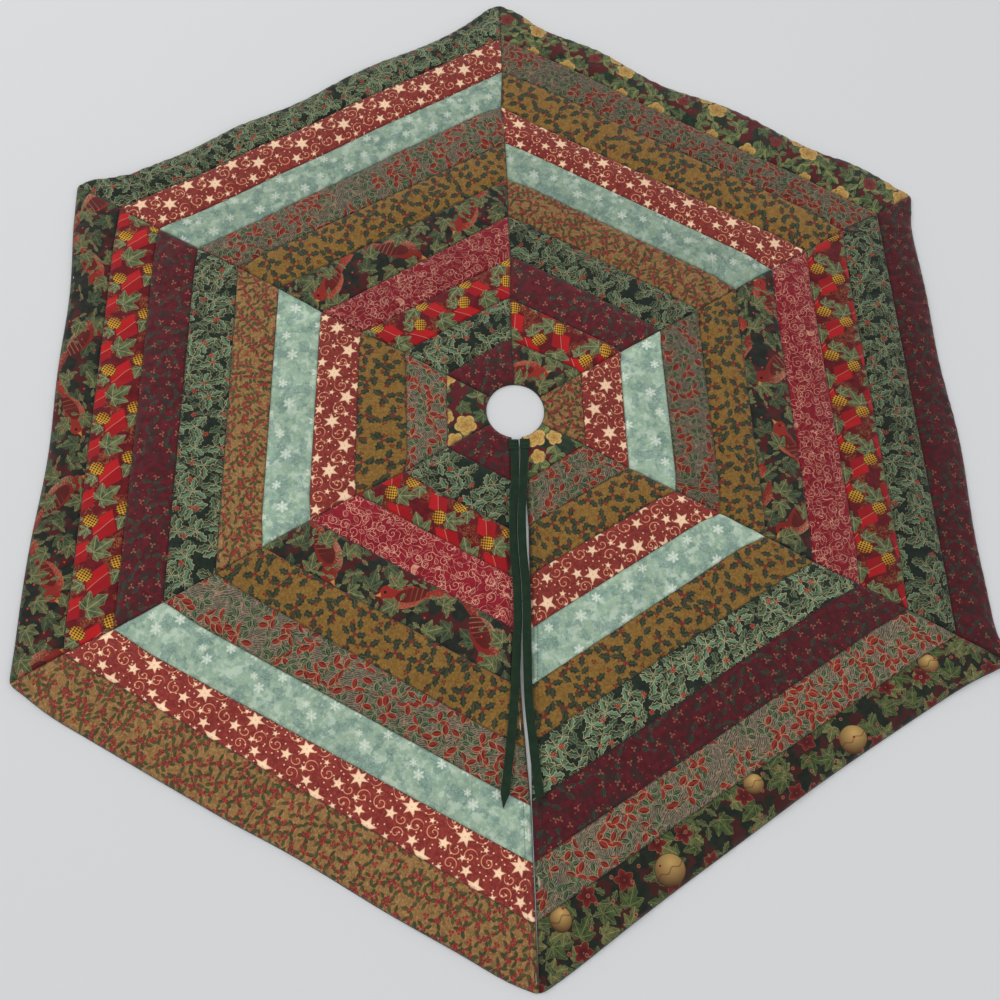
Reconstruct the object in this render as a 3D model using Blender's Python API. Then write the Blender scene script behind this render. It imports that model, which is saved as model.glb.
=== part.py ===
"""Hexagonal strip-pieced quilted tree skirt.

Six wedges of ten fabric strips each make the top. Under it lie the batting
and the backing. The skirt has a round hole for the trunk, a slit from the
hole to one corner, and a ribbon tie stitched at each side of the slit.

Frame: metres, +Z up. The origin is the centre of the trunk hole on the
underside. The slit runs along -Y and the opposite corner points along +Y.
"""

import math

import bpy
from mathutils import Vector

# ---- driving dimensions -------------------------------------------------
STRIP = 0.0508            # finished width of one strip (2 in)
STRIPS = 10               # strips in one wedge
CORE = 0.6 * STRIP        # from the centre to the inner edge of the last strip
APOTHEM = CORE + STRIPS * STRIP
CORNER = APOTHEM / math.cos(math.pi / 6)
HOLE_R = 0.035            # trunk hole
HOLE_STEPS = 10           # straight steps in 60 degrees of the hole's edge

GAP = 0.0003              # clearance between touching pieces
BACKING_T = 0.0007
BATTING_T = 0.0027
TOP_T = 0.0010
BACKING_Z = 0.0
BATTING_Z = BACKING_Z + BACKING_T + GAP
TOP_Z = BATTING_Z + BATTING_T + GAP
TOP_FACE = TOP_Z + TOP_T  # upper face of the skirt
BATTING_INSET = 0.0015    # the batting stops inside the turned edge

SLIT_HALF_AT_HOLE = 0.0075
SLIT_HALF_AT_CORNER = 0.0006

LOOSE = 3                 # innermost strips that share one pieced tip
SEPARATE = STRIPS - LOOSE

RIBBON_W = 0.0095         # 3/8 in ribbon
RIBBON_T = 0.0008
LEFT_TIE_Z = TOP_FACE + 0.0004
RIGHT_TIE_Z = LEFT_TIE_Z + RIBBON_T + 0.0004
TACK_T = 0.0016           # ribbon folded on itself where it is stitched down
TACK_LENGTH = 0.0080
TIE_TOP_Y = -0.0522       # the free ribbon turns about this point

# Heights of the fold axes over the upper face: a folded flap leaves room for
# the ties, and a folded half leaves room for both folded flaps.
FLAP_FOLD_RISE = 0.0016
HALF_FOLD_RISE = 0.0090

# Free ribbons, from the stitched end to the loose end (x, y)
LEFT_ROUTE = (
    (-0.0030, TIE_TOP_Y), (-0.0045, -0.1300), (-0.0070, -0.2100),
    (-0.0100, -0.2800), (-0.0145, -0.3410), (-0.0195, -0.3830),
    (-0.0245, -0.4170), (-0.0300, -0.4520),
)
RIGHT_ROUTE = (
    (0.0080, TIE_TOP_Y), (0.0065, -0.1300), (0.0038, -0.2100),
    (0.0012, -0.2800), (0.0008, -0.3410), (0.0032, -0.3830),
    (0.0060, -0.4170), (0.0090, -0.4500),
)

# ---- fabrics: colour and roughness --------------------------------------
FABRICS = {
    "star_red": ((0.263, 0.020, 0.023), 0.90),
    "frost_mint": ((0.337, 0.514, 0.413), 0.90),
    "holly_gold": ((0.254, 0.147, 0.027), 0.88),
    "berry_gold": ((0.323, 0.195, 0.060), 0.88),
    "holly_green": ((0.040, 0.110, 0.070), 0.90),
    "burgundy": ((0.125, 0.012, 0.021), 0.90),
    "feather_grey": ((0.250, 0.235, 0.190), 0.90),
    "ivy_red": ((0.330, 0.010, 0.012), 0.90),
    "vine_crimson": ((0.270, 0.012, 0.025), 0.90),
    "bird_holly": ((0.070, 0.055, 0.030), 0.90),
    "rose_gold_green": ((0.270, 0.190, 0.070), 0.88),
    "ornament_holly": ((0.075, 0.075, 0.035), 0.90),
    "batting_cream": ((0.800, 0.760, 0.660), 0.95),
    "backing_forest": ((0.030, 0.060, 0.045), 0.90),
    "ribbon_green": ((0.014, 0.051, 0.030), 0.55),
}

# Each wedge: name, direction of its middle in degrees, body, and its strips
# from the outer edge inwards.
WEDGES = (
    ("back_right", 60, "right_half",
     ("rose_gold_green", "feather_grey", "holly_gold", "star_red",
      "frost_mint", "berry_gold", "holly_green", "burgundy")),
    ("right", 0, "right_half",
     ("burgundy", "holly_green", "ivy_red", "vine_crimson", "bird_holly",
      "holly_gold", "feather_grey", "frost_mint")),
    ("front_right", -60, "right_flap",
     ("ornament_holly", "feather_grey", "burgundy", "holly_green",
      "holly_gold", "frost_mint", "star_red", "holly_gold")),
    ("front_left", -120, "left_flap",
     ("berry_gold", "star_red", "frost_mint", "feather_grey", "holly_gold",
      "bird_holly", "vine_crimson", "ivy_red")),
    ("left", 180, "left_half",
     ("bird_holly", "ivy_red", "burgundy", "holly_green", "berry_gold",
      "frost_mint", "star_red", "holly_gold")),
    ("back_left", 120, "left_half",
     ("holly_green", "star_red", "frost_mint", "feather_grey", "holly_gold",
      "bird_holly", "vine_crimson", "ivy_red")),
)


# ---- helpers --------------------------------------------------------------
def polar(radius, degrees):
    a = math.radians(degrees)
    return Vector((radius * math.cos(a), radius * math.sin(a)))


def slit_line(side):
    """The slit's edge on one side (-1 left, 1 right), as point and direction."""
    a = Vector((side * SLIT_HALF_AT_HOLE, -HOLE_R))
    b = Vector((side * SLIT_HALF_AT_CORNER, -CORNER))
    return a, (b - a).normalized()


def side_line(degrees, turn, inset):
    """The straight side of a sector along the ray at this angle.

    turn is 1 for the sector's anticlockwise side and -1 for its clockwise
    side. The line lies inset inside the sector. At 270 degrees it is the
    slit's edge.
    """
    inward = polar(1.0, degrees - 90 * turn)
    if degrees % 360 == 270:
        point, along = slit_line(-1 if turn > 0 else 1)
    else:
        point, along = Vector((0.0, 0.0)), polar(1.0, degrees)
    return point + inward * inset, along


def meet_row(line, middle, distance):
    """Where a side line crosses the row at this distance from the centre."""
    point, along = line
    normal = polar(1.0, middle)
    return point + along * ((distance - point.dot(normal)) / along.dot(normal))


def meet_hole(line, radius):
    """Where a side line crosses the hole's edge, on the outward side."""
    point, along = line
    b = point.dot(along)
    c = point.dot(point) - radius * radius
    return point + along * (-b + math.sqrt(b * b - c))


def hole_edge(start, end, radius, steps):
    """Points on the hole's edge from start to end, both left out."""
    a = math.atan2(start.y, start.x)
    b = math.atan2(end.y, end.x)
    while b - a > math.pi:
        b -= 2 * math.pi
    while b - a < -math.pi:
        b += 2 * math.pi
    return [Vector((radius * math.cos(a + (b - a) * i / steps),
                    radius * math.sin(a + (b - a) * i / steps)))
            for i in range(1, steps)]


def smooth_route(points, per_span):
    """A smooth curve through the route's own points."""
    pts = [Vector(p) for p in points]
    pts = [pts[0] * 2 - pts[1]] + pts + [pts[-1] * 2 - pts[-2]]
    out = []
    for i in range(1, len(pts) - 2):
        p0, p1, p2, p3 = pts[i - 1:i + 3]
        for k in range(per_span):
            t = k / per_span
            out.append(0.5 * (2 * p1 + (p2 - p0) * t
                              + (2 * p0 - 5 * p1 + 4 * p2 - p3) * t * t
                              + (3 * p1 - p0 - 3 * p2 + p3) * t ** 3))
    out.append(pts[-2].copy())
    return out


# ---- scene set-up ----------------------------------------------------------
for old in list(bpy.data.objects):
    bpy.data.objects.remove(old, do_unlink=True)

parts = bpy.data.collections.new("tree_skirt")
bpy.context.scene.collection.children.link(parts)


def material_for(name, fabric):
    """A material of its own for one piece, in its fabric's colour."""
    colour, rough = FABRICS[fabric]
    mat = bpy.data.materials.new(name + "_" + fabric)
    mat.use_nodes = True
    shader = mat.node_tree.nodes["Principled BSDF"]
    shader.inputs["Base Color"].default_value = (*colour, 1.0)
    shader.inputs["Roughness"].default_value = rough
    shader.inputs["Metallic"].default_value = 0.0
    return mat


def axis_empty(name, location, parent=None):
    empty = bpy.data.objects.new(name, None)
    empty.empty_display_size = 0.05
    parts.objects.link(empty)
    empty.location = location
    if parent is not None:
        empty.parent = parent
        empty.location = Vector(location) - parent_place[parent.name]
    parent_place[name] = Vector(location)
    return empty


parent_place = {}


def flat_piece(name, outline, z, thickness, fabric, parent=None):
    """A flat piece with this outline, its underside at z."""
    curve = bpy.data.curves.new(name, "CURVE")
    curve.dimensions = "2D"
    curve.fill_mode = "BOTH"
    curve.extrude = thickness / 2
    spline = curve.splines.new("POLY")
    spline.points.add(len(outline) - 1)
    middle = Vector((0.0, 0.0, z + thickness / 2))
    base = parent_place[parent.name] if parent is not None else Vector((0, 0, 0))
    for point, p in zip(spline.points, outline):
        point.co = (p.x, p.y, 0.0, 1.0)
    spline.use_cyclic_u = True
    curve.materials.append(material_for(name, fabric))
    piece = bpy.data.objects.new(name, curve)
    parts.objects.link(piece)
    piece.parent = parent
    piece.location = middle - base
    return piece


# ---- joint axes --------------------------------------------------------------
half_axis = axis_empty("half_fold_axis", (0.0, 0.3, TOP_FACE + HALF_FOLD_RISE))
left_flap_axis = axis_empty(
    "left_flap_fold_axis", (0.0, 0.0, TOP_FACE + FLAP_FOLD_RISE), half_axis)
right_flap_axis = axis_empty(
    "right_flap_fold_axis", (0.0, 0.0, TOP_FACE + FLAP_FOLD_RISE))
left_tie_axis = axis_empty(
    "left_tie_axis", (LEFT_ROUTE[0][0], LEFT_ROUTE[0][1], LEFT_TIE_Z), left_flap_axis)
right_tie_axis = axis_empty(
    "right_tie_axis", (RIGHT_ROUTE[0][0], RIGHT_ROUTE[0][1], RIGHT_TIE_Z), right_flap_axis)
AXES = {"right_half": None, "left_half": half_axis,
        "left_flap": left_flap_axis, "right_flap": right_flap_axis}


# ---- the pieced top ------------------------------------------------------------
for wedge, middle, body, fabrics in WEDGES:
    ccw = side_line(middle + 30, 1, GAP / 2)
    cw = side_line(middle - 30, -1, GAP / 2)
    for k in range(SEPARATE):
        outer = APOTHEM - k * STRIP - (GAP / 2 if k else 0.0)
        inner = APOTHEM - (k + 1) * STRIP + GAP / 2
        outline = [meet_row(cw, middle, outer), meet_row(ccw, middle, outer),
                   meet_row(ccw, middle, inner), meet_row(cw, middle, inner)]
        flat_piece(f"{wedge}_strip_{k + 1}", outline, TOP_Z, TOP_T,
                   fabrics[k], AXES[body])
    outer = APOTHEM - SEPARATE * STRIP - GAP / 2
    start, end = meet_hole(ccw, HOLE_R), meet_hole(cw, HOLE_R)
    outline = ([meet_row(cw, middle, outer), meet_row(ccw, middle, outer), start]
               + hole_edge(start, end, HOLE_R, HOLE_STEPS) + [end])
    flat_piece(f"{wedge}_centre_strips", outline, TOP_Z, TOP_T,
               fabrics[SEPARATE], AXES[body])


# ---- batting and backing, one of each for every folding section ------------------
SECTIONS = (("right_half", -30, 90), ("left_half", 90, 210),
            ("left_flap", 210, 270), ("right_flap", 270, 330))


def section_outline(first, last, inset):
    """Outline of a section between two rays, anticlockwise."""
    cw = side_line(first, -1, GAP / 2 + (inset if first % 360 == 270 else 0.0))
    ccw = side_line(last, 1, GAP / 2 + (inset if last % 360 == 270 else 0.0))
    outline = [meet_row(cw, first + 30, APOTHEM - inset)]
    for corner in range(first + 60, last, 60):
        outline.append(polar((APOTHEM - inset) / math.cos(math.pi / 6), corner))
    outline.append(meet_row(ccw, last - 30, APOTHEM - inset))
    start, end = meet_hole(ccw, HOLE_R + inset), meet_hole(cw, HOLE_R + inset)
    steps = HOLE_STEPS * (last - first) // 60
    return outline + [start] + hole_edge(start, end, HOLE_R + inset, steps) + [end]


for section, first, last in SECTIONS:
    flat_piece(section + "_batting", section_outline(first, last, BATTING_INSET),
               BATTING_Z, BATTING_T, "batting_cream", AXES[section])
    flat_piece(section + "_backing", section_outline(first, last, 0.0),
               BACKING_Z, BACKING_T, "backing_forest", AXES[section])


# ---- ribbon ties -------------------------------------------------------------------
def ribbon_outline(route, pointed):
    """Outline of a flat ribbon along a route.

    The stitched end is round about the point it turns on, and the loose end
    is cut to shape.
    """
    line = smooth_route(route, 4)
    along = (line[1] - line[0]).normalized()
    across = Vector((-along.y, along.x))
    turns = [math.pi * k / 6 for k in range(1, 6)]
    round_end = [line[0] + (across * -math.cos(t) - along * math.sin(t))
                 * (RIBBON_W / 2) for t in turns]
    left, right = [], []
    for i, p in enumerate(line):
        a, b = line[max(i - 1, 0)], line[min(i + 1, len(line) - 1)]
        along = (b - a).normalized()
        across = Vector((-along.y, along.x)) * (RIBBON_W / 2)
        if i == len(line) - 1:
            if pointed:  # cut to a point
                left.append(p)
            else:        # cut on the slant
                left.append(p + across)
                right.append(p - across - along * RIBBON_W * 0.4)
        elif i == len(line) - 2 and pointed:
            left.append(p + across * 0.8)
            right.append(p - across * 0.8)
        else:
            left.append(p + across)
            right.append(p - across)
    return left + right[::-1] + round_end


for name, route, z, pointed, axis in (
        ("left_tie", LEFT_ROUTE, LEFT_TIE_Z, True, left_tie_axis),
        ("right_tie", RIGHT_ROUTE, RIGHT_TIE_Z, False, right_tie_axis)):
    flat_piece(name, ribbon_outline(route, pointed), z, RIBBON_T,
               "ribbon_green", axis)

# The stitched end of each ribbon, folded on itself beside the slit's top corner
for name, side, route, axis in (
        ("left_tie_stitched_end", -1, LEFT_ROUTE, left_flap_axis),
        ("right_tie_stitched_end", 1, RIGHT_ROUTE, right_flap_axis)):
    x0 = route[0][0] - RIBBON_W / 2
    x1 = route[0][0] + RIBBON_W / 2
    if side < 0:
        x0 -= 0.006
    else:
        x1 += 0.006
    y0 = TIE_TOP_Y + RIBBON_W / 2 + GAP
    y1 = y0 + TACK_LENGTH
    flat_piece(name, [Vector((x0, y0)), Vector((x1, y0)),
                      Vector((x1, y1)), Vector((x0, y1))],
               LEFT_TIE_Z, TACK_T, "ribbon_green", axis)
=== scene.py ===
"""Looks of the hexagonal quilted tree skirt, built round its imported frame."""

import math
import random

import bpy
import numpy as np
from mathutils import Vector, Matrix
from mathutils.bvhtree import BVHTree


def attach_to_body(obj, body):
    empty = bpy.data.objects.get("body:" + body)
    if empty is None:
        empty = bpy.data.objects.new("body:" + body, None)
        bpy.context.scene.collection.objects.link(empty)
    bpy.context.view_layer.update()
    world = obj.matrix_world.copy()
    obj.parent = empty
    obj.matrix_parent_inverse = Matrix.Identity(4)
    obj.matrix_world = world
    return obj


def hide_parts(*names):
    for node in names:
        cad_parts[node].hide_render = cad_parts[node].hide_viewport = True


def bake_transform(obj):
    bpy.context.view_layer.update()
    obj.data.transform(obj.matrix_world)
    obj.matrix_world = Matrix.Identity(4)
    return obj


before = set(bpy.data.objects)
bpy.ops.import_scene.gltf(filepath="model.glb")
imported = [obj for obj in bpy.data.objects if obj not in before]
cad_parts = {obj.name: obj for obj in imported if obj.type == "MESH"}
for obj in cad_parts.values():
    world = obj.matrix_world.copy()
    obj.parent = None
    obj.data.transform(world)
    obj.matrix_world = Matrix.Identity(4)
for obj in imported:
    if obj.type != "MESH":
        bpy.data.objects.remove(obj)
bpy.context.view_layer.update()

scene = bpy.context.scene

# ---------------------------------------------------------------- sizes (m)
# These repeat the part's own dimensions.
STRIP = 0.0508
STRIPS = 10
CORE = 0.6 * STRIP
APOTHEM = CORE + STRIPS * STRIP
TAN30 = math.tan(math.pi / 6)
COS30 = math.cos(math.pi / 6)
CORNER = APOTHEM / COS30
HOLE_R = 0.035
RIBBON_W = 0.0095

WEDGES = (
    ("back_right", 60, ("rose_gold_green", "feather_grey", "holly_gold", "star_red",
                        "frost_mint", "berry_gold", "holly_green", "burgundy",
                        "ivy_red", "bird_holly")),
    ("right", 0, ("burgundy", "holly_green", "ivy_red", "vine_crimson", "bird_holly",
                  "holly_gold", "feather_grey", "frost_mint", "star_red", "berry_gold")),
    ("front_right", -60, ("ornament_holly", "feather_grey", "burgundy", "holly_green",
                          "holly_gold", "frost_mint", "star_red", "holly_gold",
                          "feather_grey", "rose_gold_green")),
    ("front_left", -120, ("berry_gold", "star_red", "frost_mint", "feather_grey",
                          "holly_gold", "bird_holly", "vine_crimson", "ivy_red",
                          "holly_green", "burgundy")),
    ("left", 180, ("bird_holly", "ivy_red", "burgundy", "holly_green", "berry_gold",
                   "frost_mint", "star_red", "holly_gold", "feather_grey",
                   "rose_gold_green")),
    ("back_left", 120, ("holly_green", "star_red", "frost_mint", "feather_grey",
                        "holly_gold", "bird_holly", "vine_crimson", "ivy_red",
                        "holly_green", "burgundy")),
)
NEXT = {"back_right": ("right", "back_left"), "right": ("front_right", "back_right"),
        "front_right": (None, "right"), "front_left": ("left", None),
        "left": ("back_left", "front_left"), "back_left": ("back_right", "left")}
MIDDLE = {w: m for w, m, _ in WEDGES}

# ---------------------------------------------------------------- camera
cam_data = bpy.data.cameras.new("camera")
cam = bpy.data.objects.new("camera", cam_data)
scene.collection.objects.link(cam)
cam_data.sensor_width = 36.0
cam_data.lens = 35.2
cam_data.clip_start = 0.01
cam_data.dof.use_dof = False
turn = Vector([math.radians(a) for a in (19.83414482, -3.76909753, -1.21793212)])
cam.matrix_world = (Matrix.Translation((-0.09854195, -0.49341055, 1.05731363))
                    @ Matrix.Rotation(turn.length, 4, turn.normalized()))
scene.camera = cam

# ---------------------------------------------------------------- ribbon routes
LEFT_ROUTE = ((-0.0030, -0.0522), (-0.0044, -0.0900), (-0.0078, -0.1300),
              (-0.0087, -0.1700), (-0.0070, -0.2100), (-0.0069, -0.2450),
              (-0.0092, -0.2800), (-0.0145, -0.3410), (-0.0195, -0.3830),
              (-0.0245, -0.4170), (-0.0300, -0.4520))
RIGHT_ROUTE = ((0.0080, -0.0522), (0.0053, -0.0900), (0.0019, -0.1300),
               (0.0010, -0.1700), (0.0027, -0.2100), (0.0028, -0.2450),
               (0.0014, -0.2800), (0.0008, -0.3410), (0.0032, -0.3830),
               (0.0060, -0.4170), (0.0090, -0.4500))


def smooth_route(points, per_span):
    """A Catmull-Rom curve through the points."""
    pts = [Vector(p) for p in points]
    pts = [pts[0] * 2 - pts[1]] + pts + [pts[-1] * 2 - pts[-2]]
    out = []
    for i in range(1, len(pts) - 2):
        p0, p1, p2, p3 = pts[i - 1:i + 3]
        for k in range(per_span):
            t = k / per_span
            out.append(0.5 * (2 * p1 + (p2 - p0) * t
                              + (2 * p0 - 5 * p1 + 4 * p2 - p3) * t * t
                              + (3 * p1 - p0 - 3 * p2 + p3) * t ** 3))
    out.append(pts[-2].copy())
    return out


# ================================================================ node sums
def linear(hex_colour):
    """A linear colour from a hex one."""
    h = hex_colour.lstrip("#")
    out = []
    for i in (0, 2, 4):
        c = int(h[i:i + 2], 16) / 255
        out.append(c / 12.92 if c <= 0.04045 else ((c + 0.055) / 1.055) ** 2.4)
    return (*out, 1.0)


class Val:
    """A value that varies over a surface, with arithmetic."""

    def __init__(self, g, socket):
        self.g, self.s = g, socket

    def __add__(self, o): return self.g.op("ADD", self, o)
    def __radd__(self, o): return self.g.op("ADD", self, o)
    def __sub__(self, o): return self.g.op("SUBTRACT", self, o)
    def __rsub__(self, o): return self.g.op("SUBTRACT", o, self)
    def __mul__(self, o): return self.g.op("MULTIPLY", self, o)
    def __rmul__(self, o): return self.g.op("MULTIPLY", self, o)
    def __truediv__(self, o): return self.g.op("DIVIDE", self, o)
    def __neg__(self): return self.g.op("MULTIPLY", self, -1.0)


class Graph:
    """One material, painted layer by layer on the flat cloth (in mm)."""

    def __init__(self, name):
        self.mat = bpy.data.materials.new(name)
        self.mat.use_nodes = True
        self.nodes = self.mat.node_tree.nodes
        self.links = self.mat.node_tree.links
        self.shader = self.nodes["Principled BSDF"]
        uv = self.node("ShaderNodeUVMap")
        uv.uv_map = "Cloth"
        self.P = Val(self, uv.outputs["UV"])
        self.x, self.y = self.split(self.P)
        self.colour = linear("#808080")
        self.height = None

    def node(self, kind):
        return self.nodes.new(kind)

    def put(self, socket, value):
        if isinstance(value, Val):
            self.links.new(value.s, socket)
        elif value is not None:
            socket.default_value = value

    def op(self, kind, a, b=None, c=None, clamp=False):
        n = self.node("ShaderNodeMath")
        n.operation = kind
        n.use_clamp = clamp
        for i, value in enumerate((a, b, c)):
            self.put(n.inputs[i], value)
        return Val(self, n.outputs[0])

    def vec(self, kind, a, b=None):
        n = self.node("ShaderNodeVectorMath")
        n.operation = kind
        self.put(n.inputs[0], a)
        if b is not None:
            self.put(n.inputs[1], b)
        return Val(self, n.outputs["Value" if kind == "LENGTH" else "Vector"])

    def split(self, v):
        n = self.node("ShaderNodeSeparateXYZ")
        self.put(n.inputs[0], v)
        return Val(self, n.outputs[0]), Val(self, n.outputs[1])

    def join(self, x, y):
        n = self.node("ShaderNodeCombineXYZ")
        self.put(n.inputs[0], x)
        self.put(n.inputs[1], y)
        return Val(self, n.outputs[0])

    # -- sums with one node each
    def mad(self, a, b, c, clamp=False): return self.op("MULTIPLY_ADD", a, b, c, clamp)
    def wrap(self, a, lo, hi): return self.op("WRAP", a, hi, lo)
    def mag(self, a): return self.op("ABSOLUTE", a)
    def sin(self, a): return self.op("SINE", a)
    def cos(self, a): return self.op("COSINE", a)
    def low(self, a, b): return self.op("MINIMUM", a, b)
    def high(self, a, b): return self.op("MAXIMUM", a, b)
    def inside(self, d, soft=0.35): return self.mad(d, -0.5 / soft, 0.5, True)
    def line(self, d, half, soft=0.3): return self.inside(self.mag(d) - half, soft)

    def radius(self, x, y): return self.op("SQRT", self.mad(x, x, y * y))

    def noise(self, size, detail=2.0, rough=0.5, at=(0, 0), warp=0.0, stretch=None, P=None):
        n = self.node("ShaderNodeTexNoise")
        n.noise_dimensions = "2D"
        v = P or self.P
        if stretch is not None:
            v = self.vec("MULTIPLY", v, (stretch[0], stretch[1], 1.0))
        if at != (0, 0):
            v = self.vec("ADD", v, (at[0], at[1], 0.0))
        self.put(n.inputs["Vector"], v)
        n.inputs["Scale"].default_value = 1.0 / size
        n.inputs["Detail"].default_value = detail
        n.inputs["Roughness"].default_value = rough
        n.inputs["Distortion"].default_value = warp
        return Val(self, n.outputs["Fac"])

    def step(self, v, lo, hi):
        return self.mad(v, 1.0 / (hi - lo), -lo / (hi - lo), True)

    def cells(self, pitch, at=(0, 0), jitter=0.75, P=None):
        """A scatter of places: local coordinates, distance and three random numbers."""
        v = P or self.P
        if at != (0, 0):
            v = self.vec("ADD", v, (at[0], at[1], 0.0))
        n = self.node("ShaderNodeTexVoronoi")
        n.voronoi_dimensions = "2D"
        n.feature = "F1"
        self.put(n.inputs["Vector"], v)
        n.inputs["Scale"].default_value = 1.0 / pitch
        n.inputs["Randomness"].default_value = jitter
        local = self.vec("SUBTRACT", v, Val(self, n.outputs["Position"]))
        dist = Val(self, n.outputs["Distance"]) * pitch
        c = self.node("ShaderNodeSeparateColor")
        self.links.new(n.outputs["Color"], c.inputs[0])
        return local, dist, [Val(self, o) for o in c.outputs]

    def spin(self, local, angle):
        n = self.node("ShaderNodeVectorRotate")
        n.rotation_type = "Z_AXIS"
        self.put(n.inputs["Vector"], local)
        self.put(n.inputs["Angle"], angle)
        return self.split(Val(self, n.outputs[0]))

    def place(self, cx, cy, px, py, angle=0.0):
        """Local coordinates about a place that repeats every px by py."""
        x = self.wrap(self.x - cx, -px / 2, px / 2)
        y = self.wrap(self.y - cy, -py / 2, py / 2)
        if angle:
            c, s = math.cos(angle), math.sin(angle)
            x, y = self.mad(x, c, y * s), self.mad(y, c, x * -s)
        return x, y

    def fold(self, x, y, n, start=0.0):
        """Coordinates folded into one of n equal sectors, pointing along +x."""
        phi = self.op("ARCTAN2", y, x)
        if start:
            phi = phi + start
        psi = self.wrap(phi, -math.pi / n, math.pi / n)
        r = self.radius(x, y)
        return r * self.cos(psi), r * self.sin(psi), r, phi

    # -- shapes: signed distances in mm
    def star(self, x, y, big, n, inner=0.45, turn=0.0):
        x1, y1, r, _ = self.fold(x, y, n, turn)
        half, q = math.pi / n, big * inner
        ex, ey = q * math.cos(half) - big, q * math.sin(half)
        size = math.hypot(ex, ey)
        nx, ny = ey / size, -ex / size
        return self.mad(self.mag(y1), ny, self.mad(x1, nx, -big * nx)), r

    def leaf(self, x, y, length, width, points=3, depth=0.45):
        q = x * (2.0 / length)
        base = self.mad(q * q, -width / 2, width / 2)
        if points:
            wave = self.mag(self.sin(self.mad(x, math.pi * points / length,
                                              math.pi * points / 2)))
            base = base * self.mad(wave, -depth, 1.0)
        return self.mag(y) - base

    def curl(self, x, y, pitch, radius, half, start=0.0):
        phi = self.op("ARCTAN2", y, x)
        r = self.radius(x, y)
        d = self.mag(self.wrap(self.mad(phi, pitch / (2 * math.pi), start - r),
                               -pitch / 2, pitch / 2)) - half
        return self.high(d, r - radius)

    # -- painting
    def mix(self, a, b, f, mode="MIX"):
        n = self.node("ShaderNodeMix")
        n.data_type = "RGBA"
        n.blend_type = mode
        self.put(n.inputs[0], f)
        self.put(n.inputs[6], a)
        self.put(n.inputs[7], b)
        return Val(self, n.outputs[2])

    def tone(self, a, b, f):
        return self.mix(linear(a) if isinstance(a, str) else a,
                        linear(b) if isinstance(b, str) else b, f)

    def paint(self, cover, colour):
        if isinstance(colour, str):
            colour = linear(colour)
        self.colour = self.mix(self.colour, colour, cover)

    def base(self, a, b, size=9.0, c=None):
        self.colour = self.tone(a, b, self.step(self.noise(size, 3.0, 0.6), 0.38, 0.62))
        if c is not None:
            self.paint(self.step(self.noise(size * 0.45, 2.0, 0.6, at=(31, 7)), 0.5, 0.68), c)

    def leafage(self, cell, count, length, width, fill, rim, vein, gap=0.6, points=3,
                turn=0.0, share=None, rim_width=0.35, depth=0.45, darker=None,
                fan=False):
        """A sprig of leaves round each place."""
        local, dist, rand = cell
        x, y = self.spin(local, rand[0] * 6.2832 + turn)
        x1, y1, r, phi = self.fold(x, y, count)
        lx = x1 - (gap + length / 2)
        d = self.leaf(lx, y1, length, width, points, depth)
        cover = self.inside(d)
        if share is not None or fan:
            keep = self.op("LESS_THAN", rand[2], 1.0 if share is None else share)
            if fan:       # only the leaves on one side of the stem
                keep = keep * self.step(x, -1.6, -0.6)
            cover = cover * keep
        tint = fill
        if darker is not None:
            tint = self.tone(fill, darker, self.step(self.mad(y1, 0.5, rand[1]), 0.2, 0.9))
        self.paint(cover, tint)
        if rim is not None:
            edge = self.line(d, rim_width, 0.25)
            if share is not None or fan:
                edge = edge * keep
            self.paint(edge, rim)
        if vein is not None:
            side = self.line(self.wrap(self.mad(self.mag(y1), 1.3, -lx), -1.1, 1.1), 0.12, 0.3)
            mid = self.high(self.line(y1, 0.18, 0.25), side * 0.55)
            self.paint(mid * cover, vein)
        return x, y, r, phi, rand

    def berries(self, x, y, count, ring, size, colour, light, middle=True, keep=None):
        """A ring of berries, with one in the middle."""
        x1, y1, r, phi = self.fold(x, y, count)
        d = self.radius(x1 - ring, y1) - size
        if middle:
            d = self.low(d, r - size * 0.95)
        cover = self.inside(d)
        if keep is not None:
            cover = cover * keep
        self.paint(cover, colour)
        if light is not None:
            self.paint(self.inside(self.radius(x1 - (ring - size * 0.3), y1 - size * 0.3)
                                   - size * 0.32) * cover, light)

    # -- finish
    def finish(self, rough=0.88, sheen=0.25, gain=(1, 1, 1), weave=0.45, weave_height=0.05,
               crumple=0.12, specular=0.25):
        """Threads, slight fading and the shader's own plain values."""
        # slow fading and a fine fleck, thread by thread
        fade = self.mad(self.noise(60, 2.0, 0.5, at=(11, 5)), 0.26, 0.87)
        fleck = self.mad(self.noise(0.8, 1.0, 0.5, at=(3, 9)), 0.24, 0.88)
        place = self.node("ShaderNodeUVMap")
        place.uv_map = "Place"
        # the second Place value scales the brightness of each piece as a whole
        seam, piece_tone = self.split(Val(self, place.outputs["UV"]))
        # painted shade: the ditch along a seam is drawn a little darker, where shade falls; the fold beside it is
        # a little worn
        ditch_shade = self.mad(self.step(seam, 0.0, 1.6), 0.22, 0.78)
        worn = self.mad(self.inside(self.mag(seam - 4.0) - 1.6, 1.5), 0.07, 1.0)
        tint = fade * fleck * ditch_shade * worn * piece_tone
        grey = self.node("ShaderNodeCombineColor")
        for i in range(3):
            self.put(grey.inputs[i], tint * gain[i])
        colour = self.mix(self.colour, Val(self, grey.outputs[0]), 1.0, "MULTIPLY")
        self.put(self.shader.inputs["Base Color"], colour)
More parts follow.
